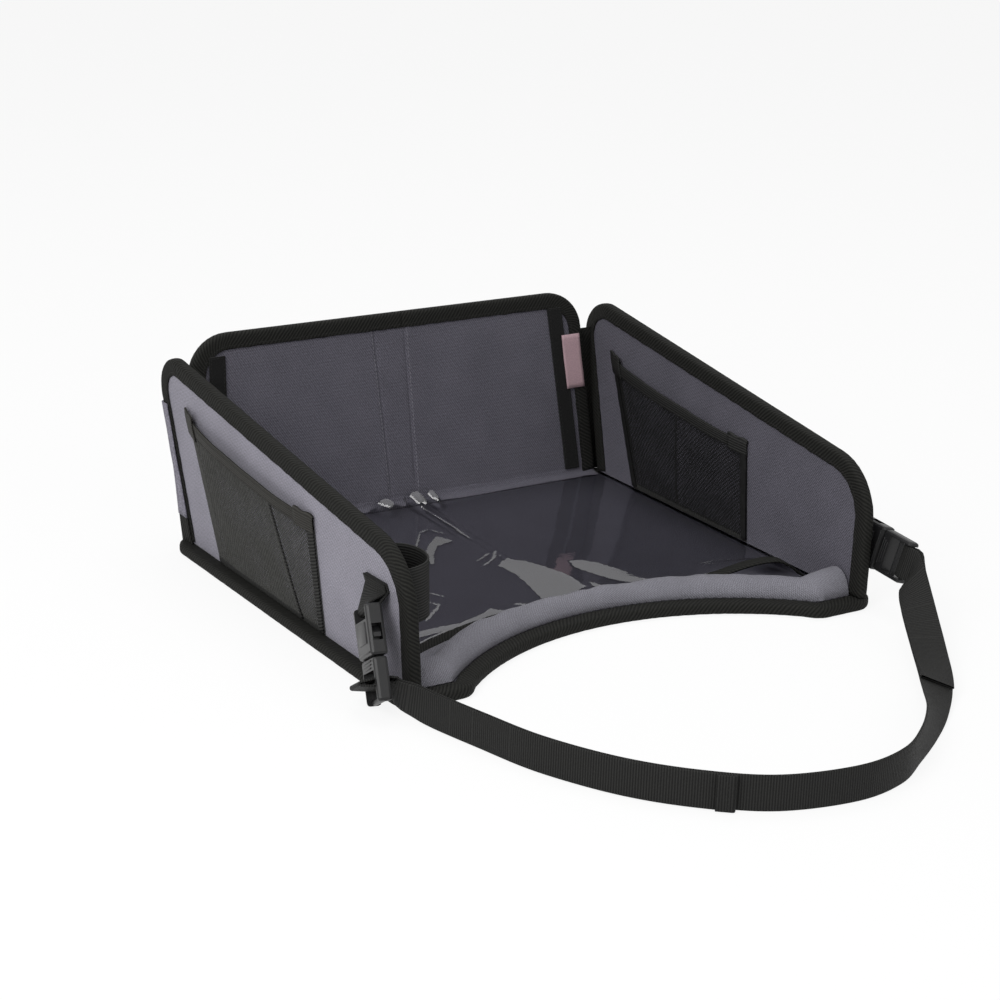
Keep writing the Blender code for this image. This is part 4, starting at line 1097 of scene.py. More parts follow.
def film_tape(side):
    """Binding on the curved front edge of the clear sheet."""
    sign = SIGNS[side]
    radius, centre_y = sheet_arc()
    tape_end = WALL_INNER_X - 0.6 * MM
    steps = 110
    half = SHEET_TAPE_WIDTH / 2
    section = ((-1.0, 0.1), (-1.05, 0.9), (-0.8, 1.5), (-0.3, 1.7))
    section += ((0.4, 1.6), (0.85, 1.3), (1.0, 0.8), (1.02, 0.2))
    rails = []
    for reach, height in section:
        rail = []
        for k in range(steps + 1):
            x = HAIRLINE + (tape_end - HAIRLINE) * k / steps
            y = centre_y + math.sqrt((radius + half * reach) ** 2 - x**2)
            lift = edge_lift(sign * x)
            rise = sheet_rise(sign * x, y + half) if reach > 0 else lift
            pucker = 0.2 * MM * noise.noise(Vector((x * 200, reach * 2, 3)))
            z = SHEET_LEVEL + height * MM + max(lift, min(rise, lift + 0.6 * MM)) + pucker
            rail.append(Vector((sign * x, y, z)))
        rails.append(rail)
    return ribbon(f"clear_film_tape_{side}", rails, TAPE_LOOK, 0.4 * MM, 0, False, 60)


def clear_sheet(side):
    outline, flat = film_outline(side)
    name = f"clear_film_{side}"
    film = cloth_plate(name, outline, Matrix.Identity(4), SHEET_LEVEL, 0, FILM_LOOK, sheet_rise, 1.6 * MM)
    film.data.normals_split_custom_set_from_vertices([film_normal(vert) for vert in film.data.vertices])
    body = f"floor_{side}"
    fitted(film, body, "clear_vinyl", f"clear_sheet_{side}")
    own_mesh(film)
    tape = fitted(film_tape(side), body, "black_tape", f"clear_sheet_tape_{side}")
    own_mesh(tape)


# Padded strip

def pad_limits(x):
    radius, centre_y = sheet_arc()
    rear = centre_y + math.sqrt((radius - SHEET_TAPE_WIDTH / 2 - FIT) ** 2 - x**2)
    inner = CUT_RADIUS + TAPE_OUT + TAPE_FLAP + FIT
    cut = CUT_CENTRE_Y + math.sqrt(inner**2 - min(x, inner) ** 2)
    front = max(cut, -HALF_DEPTH + TAPE_OUT + TAPE_FLAP + FIT)
    return front, rear


def pad_rise(side, x, across, width):
    """Height of the padded strip's roll above its base, at a distance from the cut-out."""
    sign = SIGNS[side]
    left = side == "left"
    tuck = ease((PAD_END - x) / (9 * MM)) if left else 1
    climb = 0 if left else 4.5 * MM * ease((x - PAD_END + 42 * MM) / (42 * MM))
    roll_width = min(width, 27 * MM)
    roll = min(1, across / roll_width)
    high = max(0.0, 1 - abs(2 * roll - 1) ** 2.1) ** 0.62
    flat = 0.2 * ease((across - 0.6 * roll_width) / (8 * MM)) * ease((width - across) / (5 * MM))
    crown = max(high, flat) * (0.55 + 0.45 * tuck)
    fold = noise.noise(Vector((sign * x * 70, across * 18, 1.5)))
    crease = noise.noise(Vector((sign * x * 190, across * 60, 8.5)))
    return (10.2 * MM + climb) * crown + crown * (1.3 * MM * fold + 0.35 * MM * crease)


def pad(side):
    """The padded strip: a roll along the cut-out that flattens towards the wall."""
    sign = SIGNS[side]
    shape = bmesh.new()
    layer = shape.loops.layers.uv.new("cloth")
    rings = []
    for i in range(PAD_STATIONS + 1):
        x = HAIRLINE + (PAD_END - HAIRLINE) * i / PAD_STATIONS
        front, rear = pad_limits(x)
        width = rear - front
        ring = [(shape.verts.new((sign * x, front + 1.2 * MM, PAD_BASE)), (x, 0))]
        for k in range(PAD_TOPS + 1):
            across = k / PAD_TOPS * width
            rise = pad_rise(side, x, across, width)
            top = PAD_BASE + 1.3 * MM + max(0.0, rise)
            ring.append((shape.verts.new((sign * x, front + across, top)), (x, across + rise)))
        ring.append((shape.verts.new((sign * x, rear - 0.3 * MM, PAD_BASE)), (x, width + 12 * MM)))
        rings.append(ring)
    for one, two in zip(rings, rings[1:]):
        for k in range(len(one)):
            nxt = (k + 1) % len(one)
            corners = (one[k], one[nxt], two[nxt], two[k])
            face = shape.faces.new([vert for vert, _ in corners])
            for loop, (_, flat) in zip(face.loops, corners):
                loop[layer].uv = flat
    for ring in (rings[0], rings[-1]):
        shape.faces.new([vert for vert, _ in ring])
    piece = made(f"padded_strip_{side}", shape, PAD_LOOK, 60)
    fitted(piece, f"floor_{side}", "grey_fabric", f"front_pad_{side}")
    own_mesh(piece)


# Pockets and the cup loop

def pocket_place(side, along, up, stand_off):
    """A point off the wall, along the pocket from the back and up from its foot to its hem."""
    back_inset, front_inset, drop, slope = POCKET_MOUTHS[side]
    back_top = SIDE_BACK_Y - back_inset * MM
    front_top = SIDE_FRONT_Y + front_inset * MM
    back = back_top - 30 * MM * (1 - up)
    front = front_top - 6 * MM * (1 - up)
    y = back + (front - back) * along
    below = (drop - slope * along) * MM + HEM_WIDTH
    top = wall_top_at(back_top + (front_top - back_top) * along) - below
    height = POCKET_FOOT + (top - POCKET_FOOT) * up
    return on_side(side, y, height, SIGNS[side] * (PANEL / 2 + stand_off))


def pocket_bulge(along, up):
    across = 1 - abs(2 * along - 1) ** 4
    return POCKET_BULGE * max(0.0, across) * max(0.0, min(1, up)) ** 0.7


def on_pocket(piece, side, slot, *nodes):
    """Hang a piece of a pocket on its wall, with a mesh of its own."""
    fitted(piece, f"{side}_wall", slot, *nodes)
    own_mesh(piece)


def net(side):
    """Fine diamond mesh hanging a little loose, with a pleat."""
    tall = (pocket_place(side, 0.5, 1, 0) - pocket_place(side, 0.5, 0, 0)).length
    long = (pocket_place(side, 0, 0.6, 0) - pocket_place(side, 1, 0.6, 0)).length
    columns, rows = round(long / NET_CELL), round(tall / NET_CELL)
    shape = bmesh.new()
    bmesh.ops.create_grid(shape, x_segments=columns, y_segments=rows, size=0.5)
    inner = [e for e in shape.edges if len(e.link_faces) == 2]
    bmesh.ops.poke(shape, faces=shape.faces)
    bmesh.ops.dissolve_edges(shape, edges=inner, use_verts=False)
    set_uv(shape, lambda vert: (vert.co.x * long, vert.co.y * tall))
    pleat_at, slant, deep, look = PLEATS[side]
    for vert in shape.verts:
        along = vert.co.x + 0.5
        up = vert.co.y + 0.5
        pleat = deep * MM * math.exp(-((along - pleat_at - slant * (1 - up)) / 0.014) ** 2)
        pleat += 0.5 * MM * math.exp(-((along - 0.07) / 0.02) ** 2)
        soft = 0.9 * MM * noise.noise(Vector((along * 5, up * 3, 2 + SIGNS[side])))
        rise = pocket_bulge(along, up)
        off = 0.7 * MM + rise + (pleat + soft) * min(1, rise / (2 * MM))
        vert.co = pocket_place(side, along, up, off)
    piece = made(f"{side}_pocket_mesh", shape, look)
    wires = piece.modifiers.new("strands", "WIREFRAME")
    wires.thickness = NET_STRAND
    wires.use_even_offset = True
    wires.use_boundary = True
    wires.use_replace = True
    on_pocket(applied(piece), side, "black_net", f"{side}_pocket_net")


def hem_spot(side, along, share, out):
    """A point of the hem: along the mouth, its share of the hem's width, and how far out."""
    sag = 1 * MM * math.sin(math.pi * along)
    soft = 0.6 * MM * noise.noise(Vector((along * 6, 0.3, 5 + SIGNS[side]))) * bump_at(along, 0.5, 0.5)
    off = 1.2 * MM + pocket_bulge(along, 1) + out * 0.8 * MM + soft
    return pocket_place(side, along, 1.0 + HEM_WIDTH / NET_HEIGHT * share - sag / NET_HEIGHT, off)


def hem(side):
    """The band along the pocket's mouth, doubled over, and its folded ends."""
    steps = 60

    def line(share, out):
        return [hem_spot(side, k / steps, share, out) for k in range(steps + 1)]

    section = ((-0.05, 0.0), (0.0, 0.5), (0.12, 0.8), (0.5, 0.75), (0.84, 0.85), (0.9, 0.5))
    section += ((0.96, 0.9), (1.04, 0.5), (1.05, -0.3), (1.0, -0.9), (0.5, -0.7))
    section += ((0.05, -0.7), (-0.04, -0.5), (-0.05, 0.0))
    look = HEM_LOOK if side == "left" else ELASTIC_LOOK
    rails = [line(share, out) for share, out in section]
    piece = ribbon(f"{side}_pocket_mouth_band", rails, look, 0, 0, False, 60)
    on_pocket(piece, side, "black_elastic", f"{side}_pocket_hem")
    lines = [line(share, 0.95) for share in (0.14, 0.8)]
    rows = stitches(f"{side}_pocket_band_stitches", lines, None, THREAD_LOOK, 2.8 * MM, 2 * MM, 0.15 * MM)
    on_pocket(rows, side, "black_elastic")
    for name, start, end, high in (("back", -0.005, 0.085, 0.32), ("front", 0.90, 1.01, 0.15)):
        section = ((-0.2, 0.4), (-0.15, 1.5), (0.5, 1.6), (1.0, 1.5))
        section += ((1.13 + high, 0.9), (1.15 + high, 0.2), (1.0, 0.0))
        rails = []
        for share, out in section:
            rail = []
            for k in range(9):
                slack = 0.07 * math.sin(k * 1.3) if share > 1.2 else 0
                rail.append(hem_spot(side, start + (end - start) * k / 8, share + slack, out))
            rails.append(rail)
        ear = ribbon(f"{side}_pocket_{name}_ear", rails, look, 0.5 * MM, 0, False, 60)
        on_pocket(ear, side, "black_elastic")


def pocket_edges(side):
    """Doubled net along the pocket's sides, its sewn foot and its pleat."""
    bands = [("front", 1.0, 1.0, -4 * MM)]
    if side == "left":
        bands.append(("pleat", 0.715, 0.805, 1.7 * MM))
    else:
        bands.append(("back", 0.0, 0.0, 4.5 * MM))
    look = NET_EDGE_LOOK if side == "left" else DARK_NET_LOOK
    for name, top, foot, wide in bands:
        rails = []
        for share, out in ((-0.02, 0.1), (0.0, 1.0), (0.5, 1.3), (0.95, 1.1), (1.0, 0.3)):
            rail = []
            for k in range(25):
                up = k / 24
                along = top + (foot - top) * (1 - up) + wide * share / (125 * MM)
                soft = 0.25 * MM * noise.noise(Vector((up * 22, share, SIGNS[side])))
                off = 0.9 * MM + pocket_bulge(min(1, max(0, along)), up) + out * MM + soft
                rail.append(pocket_place(side, along, up, off))
            rails.append(rail)
        piece = ribbon(f"{side}_pocket_{name}_edge", rails, look, 0.3 * MM, 0, False, 60)
        on_pocket(piece, side, "black_net")
    rails = []
    for shift, off in ((-1.8, 0.25), (-1.7, 0.9), (0.0, 1.2), (2.2, 1.1), (2.3, 0.3)):
        rails.append([pocket_place(side, k / 24, shift * MM / (80 * MM), off * MM) for k in range(25)])
    piece = ribbon(f"{side}_pocket_foot_edge", rails, NET_EDGE_LOOK, 0.3 * MM, 0, False, 60)
    fitted(piece, f"{side}_wall", "black_net")


def cup_loop():
    """Elastic band with its ends sewn to the left wall and its middle standing off."""
    sewn = PANEL / 2 + FIT + 0.75 * MM
    bound = BOUND / 2 + FIT + 0.75 * MM
    front = SIDE_FRONT_Y + 17 * MM
    length = 42 * MM
    rear = front + length
    path = [(bound, front - 7 * MM), (bound, front - 3 * MM), (bound, front)]
    steps = 30
    for k in range(1, steps):
        turn = math.pi * k / steps
        depth = math.sin(turn) ** 0.6
        path.append((sewn + 24 * MM * depth, (front + rear) / 2 - math.cos(turn) * length / 2))
    path += [(sewn, rear), (sewn, rear + 3 * MM), (sewn, rear + 7 * MM)]
    rails = []
    tall = 34 * MM
    ribs = 24
    for k in range(ribs + 1):
        share = k / ribs
        ripple = 0.12 * MM * math.sin(share * math.pi * 2 * 12)
        rail = []
        for i, (inward, y) in enumerate(path):
            lean = 1.5 * MM * (share - 0.5) * math.sin(math.pi * i / (len(path) - 1))
            rail.append(on_side("left", y, 36 * MM + tall * share, inward + ripple + lean))
        rails.append(rail)
    piece = ribbon("cup_loop_band", rails, ELASTIC_LOOK, 1.1 * MM, 0, False, 70)
    fitted(piece, "left_wall", "black_elastic", "cup_loop")
    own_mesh(piece)


# Corner tabs, closure strips and tag

def corner_rails(side, low, high, proud):
    """Rails round a back corner, in a part for the side wall and a part for the back wall."""
    sign = SIGNS[side]
    parts = {"side": [], "back": []}
    rows = 18
    curve = 3.6 * MM
    end_x = BACK_HALF_WIDTH - 26 * MM
    for k in range(rows + 1):
        height = (low + (high - low) * k / rows) * MM
        z = WALL_FOOT + height
        rear = SIDE_BACK_Y + REAR_SLANT * height + 0.9 * MM
        start_y = rear - 9.5 * MM
        side_x = abs(on_side(side, start_y, height, -BOUND / 2 - FIT - proud * MM).x)
        split = side_x - BOUND / 2
        back_y = BACK_OUTER_Y + height * math.tan(BACK_LEAN) + FIT + proud * MM
        far_y = max(rear, back_y)
        side_points = [(side_x, start_y + (far_y - curve - start_y) * i / 5) for i in range(6)]
        for i in range(1, 6):
            turn = math.pi / 2 * i / 5
            across = side_x - curve * (1 - math.cos(turn))
            side_points.append((across, far_y - curve + curve * math.sin(turn)))
        side_points.append((split, far_y))
        back_points = [(split - 0.02 * MM, far_y), (split - 2 * MM, (far_y + back_y) / 2)]
        back_points += [(split - 4 * MM + (end_x - split + 4 * MM) * i / 5, back_y) for i in range(6)]
        soft = 0.3 * MM * noise.noise(Vector((0.2, height * 60, sign)))
        parts["side"].append([Vector((sign * (x + soft), y, z)) for x, y in side_points])
        parts["back"].append([Vector((sign * x, y + soft, z)) for x, y in back_points])
    return parts


def corner_tab(side):
    """Grey cloth over black tape round a back corner, each in two pieces that part at a fold."""
    sign = SIGNS[side]
    tape_top = 19 if side == "left" else 104
    holds = {
        "side": (f"{side}_wall", (0, 1, 0), (0, REAR_SPLIT, 0), REAR_KEEP),
        "back": (f"back_{side}", (1, 0, 0), (sign * 0.137, 0, 0), 0.5),
    }
    rows = {"side": ((1, 4), (sign * 0.5 * MM, 0, 0)), "back": ((3, 6), (0, 0.5 * MM, 0))}
    for stem, low, high, look, slot, proud in (
        ("corner_tab", 17, 91, TAB_LOOK, "tab_cloth", 0.75),
        ("corner_fold_tape", -1.2, tape_top, TAPE_LOOK, "black_tape", 0.35),
    ):
        for part, rails in corner_rails(side, low, high, proud).items():
            name = f"{stem}_{side}_{part}"
            pieces = [ribbon(name, rails, look, 0.9 * MM, 0, False, 60)]
            if stem == "corner_tab":
                spots, out = rows[part]
                lines = [[rail[spot] + Vector(out) for rail in rails] for spot in spots]
                thread = stitches(f"{name}_stitches", lines, None, SEAM_LOOK, 2.8 * MM, 2 * MM, 0.22 * MM)
                pieces.append(thread)
            body, axis, anchor, keep = holds[part]
            for piece in pieces:
                fitted(piece, body, slot)
                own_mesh(piece)
            if stem == "corner_tab" and part == "side":
                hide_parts(f"corner_tab_{side}")


def closure_strip(side):
    """Hook-and-loop strip near an end of the back wall's inside, stitched all round."""
    low, high = 4 * MM, BACK_HEIGHT - TAPE_FLAP - 1.5 * MM
    foot_x, top_x = 134 * MM, 119.2 * MM
    if side == "left":
        foot_x, top_x = 135.5 * MM, 134.5 * MM
        high -= 4 * MM
    wide = 11.5 * MM
    outline = [Vector((foot_x, low)), Vector((foot_x + wide, low))]
    outline += [Vector((top_x + wide, high)), Vector((top_x, high))]
    if side == "left":
        outline = flipped(outline)
    place = back_frame()
    lift = PANEL / 2 + FIT + 0.85 * MM
    body = f"back_{side}"

    def buckled(x, y):
        return 0.25 * MM * noise.noise(Vector((x * 90, y * 40, 6)))

    name = f"closure_strip_{side}"
    piece = cloth_plate(f"{name}_cloth", outline, place, lift, 1.3 * MM, HOOK_LOOK, buckled, 3 * MM)
    fitted(piece, body, "closure", name)
    ring = shifted(outline, 1.2 * MM, True)
    ring.append(ring[0])
    line = [place @ Vector((p.x, p.y, lift + 0.7 * MM)) for p in resampled(ring, 3 * MM)]
    rows = stitches(f"{name}_stitches", [line], body, THREAD_LOOK, 2.8 * MM, 1.9 * MM, 0.17 * MM)


def tag():
    """The bare tag sewn into the back wall's right end."""
    place = back_frame()
    lift = PANEL / 2 + FIT + 1.5 * MM + FIT + 0.35 * MM
    rails = []
    high, low = 103.5 * MM, 64 * MM
    for k in range(13):
        height = low + (high - low) * k / 12
        left = 134.7 * MM - 4.7 * MM * (height - low) / (high - low)
        rail = []
        for i in range(9):
            curl = 0.9 * MM * (1 - i / 8) ** 2 + 0.25 * MM * math.sin(k * 0.7)
            rail.append(place @ Vector((left + 15.4 * MM * i / 8, height, lift + curl * 0.6)))
        rails.append(rail)
    fitted(ribbon("side_tag_cloth", rails, TAG_LOOK, 0.4 * MM), "back_right", "pink_tag", "side_tag")


# Buckles and their tabs

def buckle_tab(side):
    """Webbing folded to a point on the wall and looped round the socket's bar."""
    buckle = buckle_frame(side)
    turned = buckle.to_3x3()
    bar_line, face = turned @ Vector((1, 0, 0)), turned @ Vector((0, 1, 0))
    back_up = turned @ -UP
    if face.x * SIGNS[side] < 0:
        face = -face
    wrap = BAR_RADIUS + FIT + TAB_THICK / 2
    ply = (TAB_THICK + PLY_GAP) / 2
    surface = PANEL / 2 + FIT + TAB_THICK / 2
    wall = side_frame(side)

    def on_wall(point, layer):
        place = wall.inverted() @ point
        return wall @ Vector((place.x, place.y, -surface - layer))

    rails = []
    edges = []
    strips = 8
    for n in range(strips + 1):
        share = n / strips
        middle = buckle.translation + bar_line * STRAP_HALF * (2 * share - 1)
        end = middle + back_up * (5 * MM + 12 * MM * share)
        over = end + back_up * 5 * MM
        reach = on_wall(end, ply) - middle
        toward = math.atan2(reach.dot(back_up), reach.dot(face))
        open_angle = math.acos(wrap / math.hypot(reach.dot(face), reach.dot(back_up)))
        turn = []
        for k in range(13):
            angle = toward + open_angle + 2 * (math.pi - open_angle) * k / 12
            turn.append(middle + (face * math.cos(angle) + back_up * math.sin(angle)) * wrap)
        down = [on_wall(end, 0).lerp(turn[0], k / 8) for k in range(8)]
        back = [turn[-1].lerp(on_wall(end, 2 * ply), k / 8) for k in range(1, 8)]
        back += [on_wall(end, 2 * ply), on_wall(over, 2 * ply)]
        rails.append([on_wall(over, 0)] + down + turn + back)
        edges.append([on_wall(spot, 2 * ply + 0.62 * MM) for spot in (end, over)])
    name = f"{side}_buckle_webbing"
    body = f"{side}_wall"
    piece = ribbon(name, rails, WEBBING_LOOK, TAB_THICK, 0, False, 70)
    fitted(piece, body, "webbing", f"{side}_buckle_tab")
    rows = [[low.lerp(high, share) for low, high in edges] for share in (0.75, 0.15)]
    thread = stitches(f"{name}_stitches", rows, body, THREAD_LOOK, 2.6 * MM, 1.9 * MM, 0.2 * MM)


def moulding(shape, place, middle, size, edge):
    """Add a rounded raised block to the shape, in a buckle's frame."""
    block = bmesh.new()
    bmesh.ops.create_cube(block, size=1)
    for vert in block.verts:
        vert.co = Vector((vert.co.x * size[0], vert.co.y * size[1], vert.co.z * size[2])) * MM
    bmesh.ops.bevel(block, geom=block.edges[:], offset=edge * MM, segments=3, profile=0.5, affect="EDGES")
    moved = {}
    for vert in block.verts:
        moved[vert] = shape.verts.new(place @ (vert.co + Vector(middle) * MM))
    for face in block.faces:
        shape.faces.new([moved[vert] for vert in face.verts])
    block.free()


def buckle_details(side):
    """Raised panels, thumb ribs and rounded press pads that the plain buckle solids leave out."""
    place = buckle_frame(side)
    panels, ridges, ribs = [], [], []
    for face in (1, -1):
        panels.append(((0, face * 5.05, 14.2), (17, 0.9, 12.5), 0.4))
        ridges.append(((0, face * 5.0, 25.6), (23, 0.8, 1.1), 0.35))
        ribs += [((0, face * 4.25, 30.3 + 1.9 * k), (17 - 2 * k, 0.9, 0.9), 0.35) for k in range(3)]
    for part, blocks in (
        ("socket", panels + ridges),
        ("plug", ribs),
        ("prong_low", [((12.2, 0, 15.9), (1.6, 4.2, 2.6), 0.5)]),
        ("prong_high", [((-12.2, 0, 15.9), (1.6, 4.2, 2.6), 0.5)]),
    ):
        shape = bmesh.new()
        for middle, size, edge in blocks:
            moulding(shape, place, middle, size, edge)
        piece = made(f"{side}_{part}_mouldings", shape, PLASTIC_LOOK, 40)
        fitted(piece, f"{side}_{part}", "buckle_plastic")


# Waist strap

def smooth(stations, step):
    """Catmull-Rom stations (middle, edge direction) at an even step through the given ones."""
    padded = [stations[0]] + stations + [stations[-1]]
    fine = []
    for i in range(1, len(padded) - 2):
        p = padded[i - 1 : i + 3]
        count = max(1, round((p[2][0] - p[1][0]).length / step))
        for k in range(count):
            t = k / count
            weights = (
                (-t + 2 * t**2 - t**3) / 2,
                (2 - 5 * t**2 + 3 * t**3) / 2,
                (t + 4 * t**2 - 3 * t**3) / 2,
                (t**3 - t**2) / 2,
            )
            middle = sum((q[0] * w for q, w in zip(p, weights)), Vector())
            edge = sum((q[1] * w for q, w in zip(p, weights)), Vector())
            fine.append((middle, edge.normalized()))
    fine.append(stations[-1])
    return fine


def faces_of(line):
    """The webbing's outward face direction at each station."""
    faces = []
    for i, (_, edge) in enumerate(line):
        run = line[min(len(line) - 1, i + 1)][0] - line[max(0, i - 1)][0]
        faces.append(run.cross(edge).normalized())
    return faces


def opened(distance, wrap, ply):
    """Half the distance between two plies, opening to pass round a bar."""
    share = max(0, 1 - distance / (5 * wrap))
    return ply + (wrap - ply) * share * share * (3 - 2 * share)


def webbing(name, band, half, thickness, look):
    """Woven strap through (middle, edge direction) stations, with rounded selvedges."""
    faces = faces_of(band)
    section = ((-1, 0), (-0.98, 0.75), (-0.93, 1), (-0.45, 0.96))
    section += ((0.45, 0.96), (0.93, 1), (0.98, 0.75), (1, 0))
    section += tuple((-a, -b) for a, b in section[1:-1])
    rails = []
    for wide, thick in section + section[:1]:
        rail = []
        for (middle, edge), face in zip(band, faces):
            rail.append(middle + edge * half * wide + face * thickness / 2 * thick)
        rails.append(rail)
    return ribbon(name, rails, look, 0, 0, False, 60)


def strap_line():
    """Stations of the strap's middle from the left plug's bar to the right one's."""
    left, right = buckle_frame("left"), buckle_frame("right")
    left_bar, right_bar = left @ Vector((0, 0, MIDDLE_BAR)), right @ Vector((0, 0, END_BAR))
    left_run, right_run = left.to_3x3() @ Vector((0, 1, 0)), right.to_3x3() @ Vector((0, 0, -1))
    left_edge, right_edge = left.to_3x3() @ Vector((-1, 0, 0)), right.to_3x3() @ Vector((1, 0, 0))
    depth = 8.4 * MM
    route = [(left_bar + left_run * depth * share, left_edge) for share in (0, 0.5, 1)]
    for x, y, z, edge in STRAP_ROUTE:
        place = Vector((x * HALF_WIDTH, -HALF_DEPTH - y * STRAP_REACH, z * STRAP_HALF))
        route.append((place, Vector(edge).normalized()))
    route += [(right_bar - right_run * depth, right_edge), (right_bar, right_edge)]
    line = smooth(route, 4 * MM)
    faces = faces_of(line)
    faces[0] = left_run.cross(left_edge).normalized()
    faces[-1] = right_run.cross(right_edge).normalized()
    return line, faces, left_run, right_run


def strap_length(name, band):
    piece = webbing(name, band, STRAP_HALF, STRAP_THICK, WEBBING_LOOK)
    return piece


def round_bar(station, face, run, half_gap, poke):
    """The webbing's way round a bar, from one ply to the other."""
    middle, edge = station
    spots = []
    for k in range(1, 8):
        angle = math.pi * k / 8
        reach = poke + half_gap * math.sin(angle)
        spots.append((middle - run * reach + face * half_gap * math.cos(angle), edge))
    return spots


def folded_end(station, face, run, ply):
    """The free end's last millimetres, turned back over the strap."""
    middle, edge = station
    fold = []
    for k in range(1, 6):
        angle = math.pi * k / 6
        off = 2 * ply - ply * math.cos(angle)
        fold.append((middle + face * off + run * ply * math.sin(angle), edge))
    fold.append((middle + face * 3 * ply, edge))
    fold.append((middle + face * 3 * ply - run * 9 * MM, edge))
    return fold


def waist_strap():
    """The strap in lengths from each plug past its socket and wall to the floor half, each named for the
    part it lies on.
    """
    line, faces, left_run, right_run = strap_line()
    walked = [0.0]
    for one, two in zip(line, line[1:]):
        walked.append(walked[-1] + (two[0] - one[0]).length)
    whole = walked[-1]
    ply = (STRAP_THICK + PLY_GAP) / 2
    wrap = BAR_RADIUS + FIT + STRAP_THICK / 2
    outward, inward = [], []
    for i, (middle, edge) in enumerate(line):
        near = min(walked[i], whole - walked[i])
        half_gap = opened(near, wrap, ply)
        soft = 0.5 * MM * noise.noise(Vector((walked[i] * 14, 3, 1))) * ease((near - 30 * MM) / (20 * MM))
        outward.append((middle + faces[i] * (half_gap + abs(soft)), edge))
        inward.append((middle - faces[i] * half_gap, edge))
    stops, tails = {}, {}
    for side, bar, step, start, run, poke, tail, marks in (
        ("left", 0, 1, 0, left_run, 12 * MM, LEFT_TAIL, (27, 56, 76, 104)),
        ("right", len(line) - 1, -1, whole, -right_run, 5 * MM, RIGHT_TAIL, (20, 44, 58, 76)),
    ):

        def station(far):
            return min(range(len(line)), key=lambda i: abs(walked[i] - abs(start - far)))

        stops[side] = [station(mark * MM) for mark in marks]
        tails[side] = station(tail)
        near = list(range(bar, stops[side][0] + step, step))
        loop = [outward[i] for i in reversed(near)]
        loop += round_bar(line[bar], faces[bar], run, ply, poke)
        loop += [inward[i] for i in near]
        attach(strap_length(f"strap_{side}_end", loop), f"{side}_plug")
        bodies = (f"{side}_plug", f"{side}_socket", f"{side}_wall", f"floor_{side}")
        for one, two, body, next_body in zip(stops[side], stops[side][1:], bodies, bodies[1:]):
            span = list(range(one, two + step, step))
            doubled = [i for i in span if (tails[side] - i) * step >= 0]
            for layer, plies, stations in (("inner", inward, span), ("outer", outward, doubled)):
                name = f"strap_{next_body}_{layer}_layer"
                piece = strap_length(name, [plies[i] for i in stations])
                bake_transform(piece)
    first, last = stops["left"][-1], stops["right"][-1]
    middle_run = strap_length("strap_middle", inward[first : last + 1])
    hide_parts("waist_strap")
    end = tails["left"]
    run = (line[end][0] - line[end - 1][0]).normalized()
    fold = folded_end(line[end], faces[end], run, ply)
    free_end = strap_length("strap_free_end", outward[first : end + 1] + fold)
    far_end = strap_length("strap_far_end", outward[tails["right"] : last + 1])
    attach(far_end, "floor_right")
    middle, edge = line[end]
    rows = []
    for back in (2.5 * MM, 6.5 * MM):
        spot = middle + faces[end] * (3 * ply + STRAP_THICK / 2) - run * back
        rows.append([spot - edge * STRAP_HALF * 0.85, spot + edge * STRAP_HALF * 0.85])
    thread = stitches("strap_free_end_stitches", rows, None, THREAD_LOOK, 2.6 * MM, 1.9 * MM, 0.22 * MM)
    for piece in (middle_run, free_end, thread):
        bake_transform(piece)


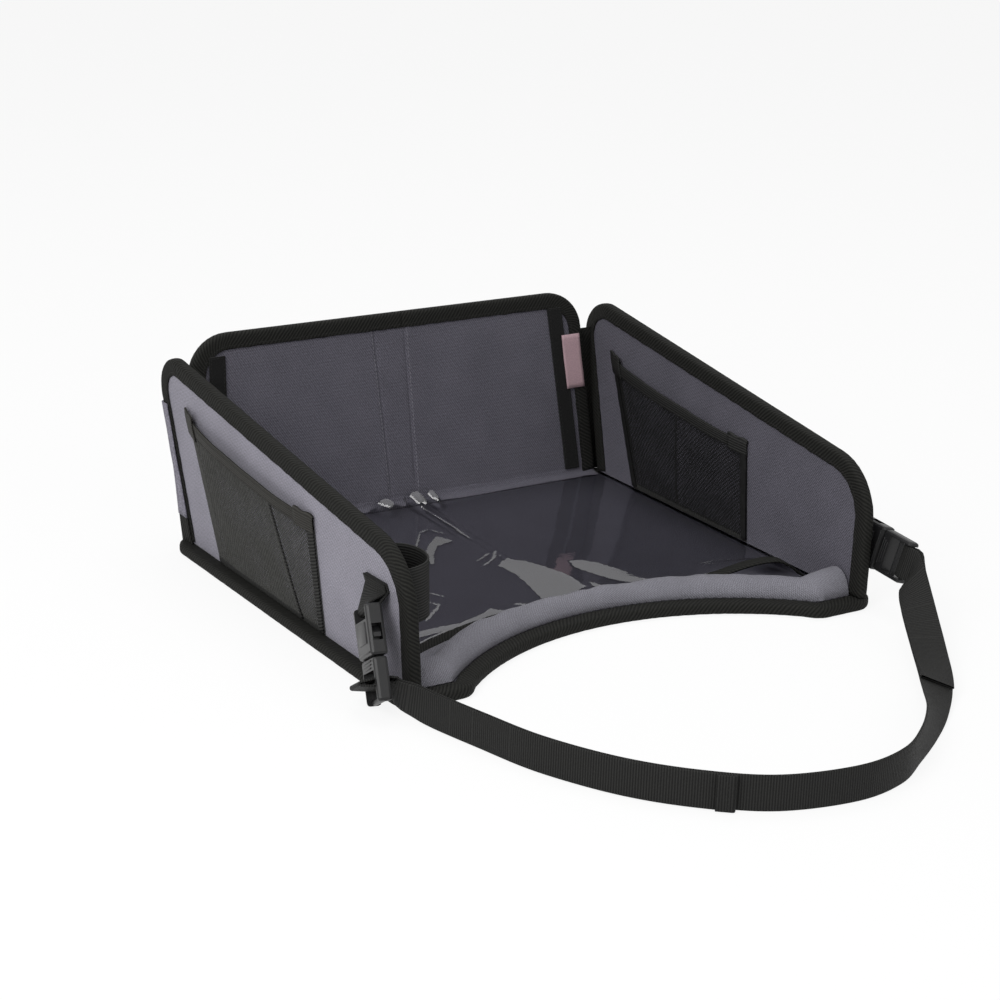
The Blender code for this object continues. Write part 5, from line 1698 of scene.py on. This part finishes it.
# Looks shared by many pieces
LILAC = (0.232, 0.224, 0.262)
# The lilac cloth darkened: painted shade for the cloth inside the tray
PAINTED_SHADE_LILAC = (0.088, 0.084, 0.104)
OUTER_LOOK = woven("grey_outer_cloth", LILAC, contrast=0.9)
PAD_LOOK = woven("grey_pad_cloth", (0.165, 0.162, 0.185), contrast=1.1)
# Painted shade: the walls' inner faces and the cloth at the back wall's foot take this darker copy of the
# same cloth
SHADED_INNER_LOOK = woven("grey_inner_cloth_painted_shade", PAINTED_SHADE_LILAC, contrast=1.3)
FLOOR_LOOK = woven("grey_floor_cloth", (0.135, 0.130, 0.160), contrast=0.5)
TAPE_LOOK = twill("black_twill_tape", (0.0105, 0.0105, 0.0095))
THREAD_LOOK = plain("black_thread", (0.022, 0.022, 0.021), 0.6)
SEAM_LOOK = plain("grey_thread", (0.17, 0.165, 0.19), 0.6)
# The left net's black yarn painted grey: painted light and highlights for the lit side
PAINTED_LIGHT_NET_LOOK = plain("net_yarn_painted_light", (0.056, 0.056, 0.053), 0.6)
DARK_NET_LOOK = plain("black_net_yarn", (0.010, 0.010, 0.010), 0.6)
NET_EDGE_LOOK = laddered("black_doubled_net", (0.022, 0.022, 0.021), 2.1 * MM)
HEM_LOOK = ribbed("dark_elastic_hem", (0.030, 0.029, 0.026), 1.5 * MM, True, light=1.5)
ELASTIC_LOOK = ribbed("black_elastic_band", (0.012, 0.012, 0.0115), 1.7 * MM, True, light=2.6)
WEBBING_LOOK = ribbed("black_webbing", (0.0115, 0.0115, 0.011), 1.5 * MM, False, light=2.2)
HOOK_LOOK = fuzzy("black_hook_strip", (0.007, 0.007, 0.007), 1500)
TAB_LOOK = fuzzy("grey_brushed_cloth", (0.20, 0.19, 0.23), 900)
TAG_LOOK = woven("pink_tag_cloth", (0.44, 0.30, 0.33), 0.7 * MM, contrast=0.5)
FILM_LOOK = clear_film()
PLASTIC_LOOK = plastic("black_moulded_plastic", (0.010, 0.010, 0.0105), 0.36)
BOARD_LOOK = plain("grey_board", (0.45, 0.45, 0.46), 0.7)

# Where each net's pleat meets the hem, its slant, its depth in millimetres and the yarn, which on the left
# is the black yarn painted grey with painted light
PLEATS = {"left": (0.715, 0.09, 1.2, PAINTED_LIGHT_NET_LOOK), "right": (0.55, -0.12, 1.6, DARK_NET_LOOK)}

stage()
camera()
floor()
for hand in ("left", "right"):
    side_wall(hand)
    back_wall(hand)
    clear_sheet(hand)
    pad(hand)
    net(hand)
    hem(hand)
    pocket_edges(hand)
    corner_tab(hand)
    closure_strip(hand)
    buckle_tab(hand)
    buckle_details(hand)
cup_loop()
tag()
waist_strap()
for name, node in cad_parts.items():
    if "buckle" in name and not name.endswith("tab"):
        look = PLASTIC_LOOK
    elif "board" in name:
        look = BOARD_LOOK
    else:
        continue
    node.data.materials.clear()
    node.data.materials.append(look)
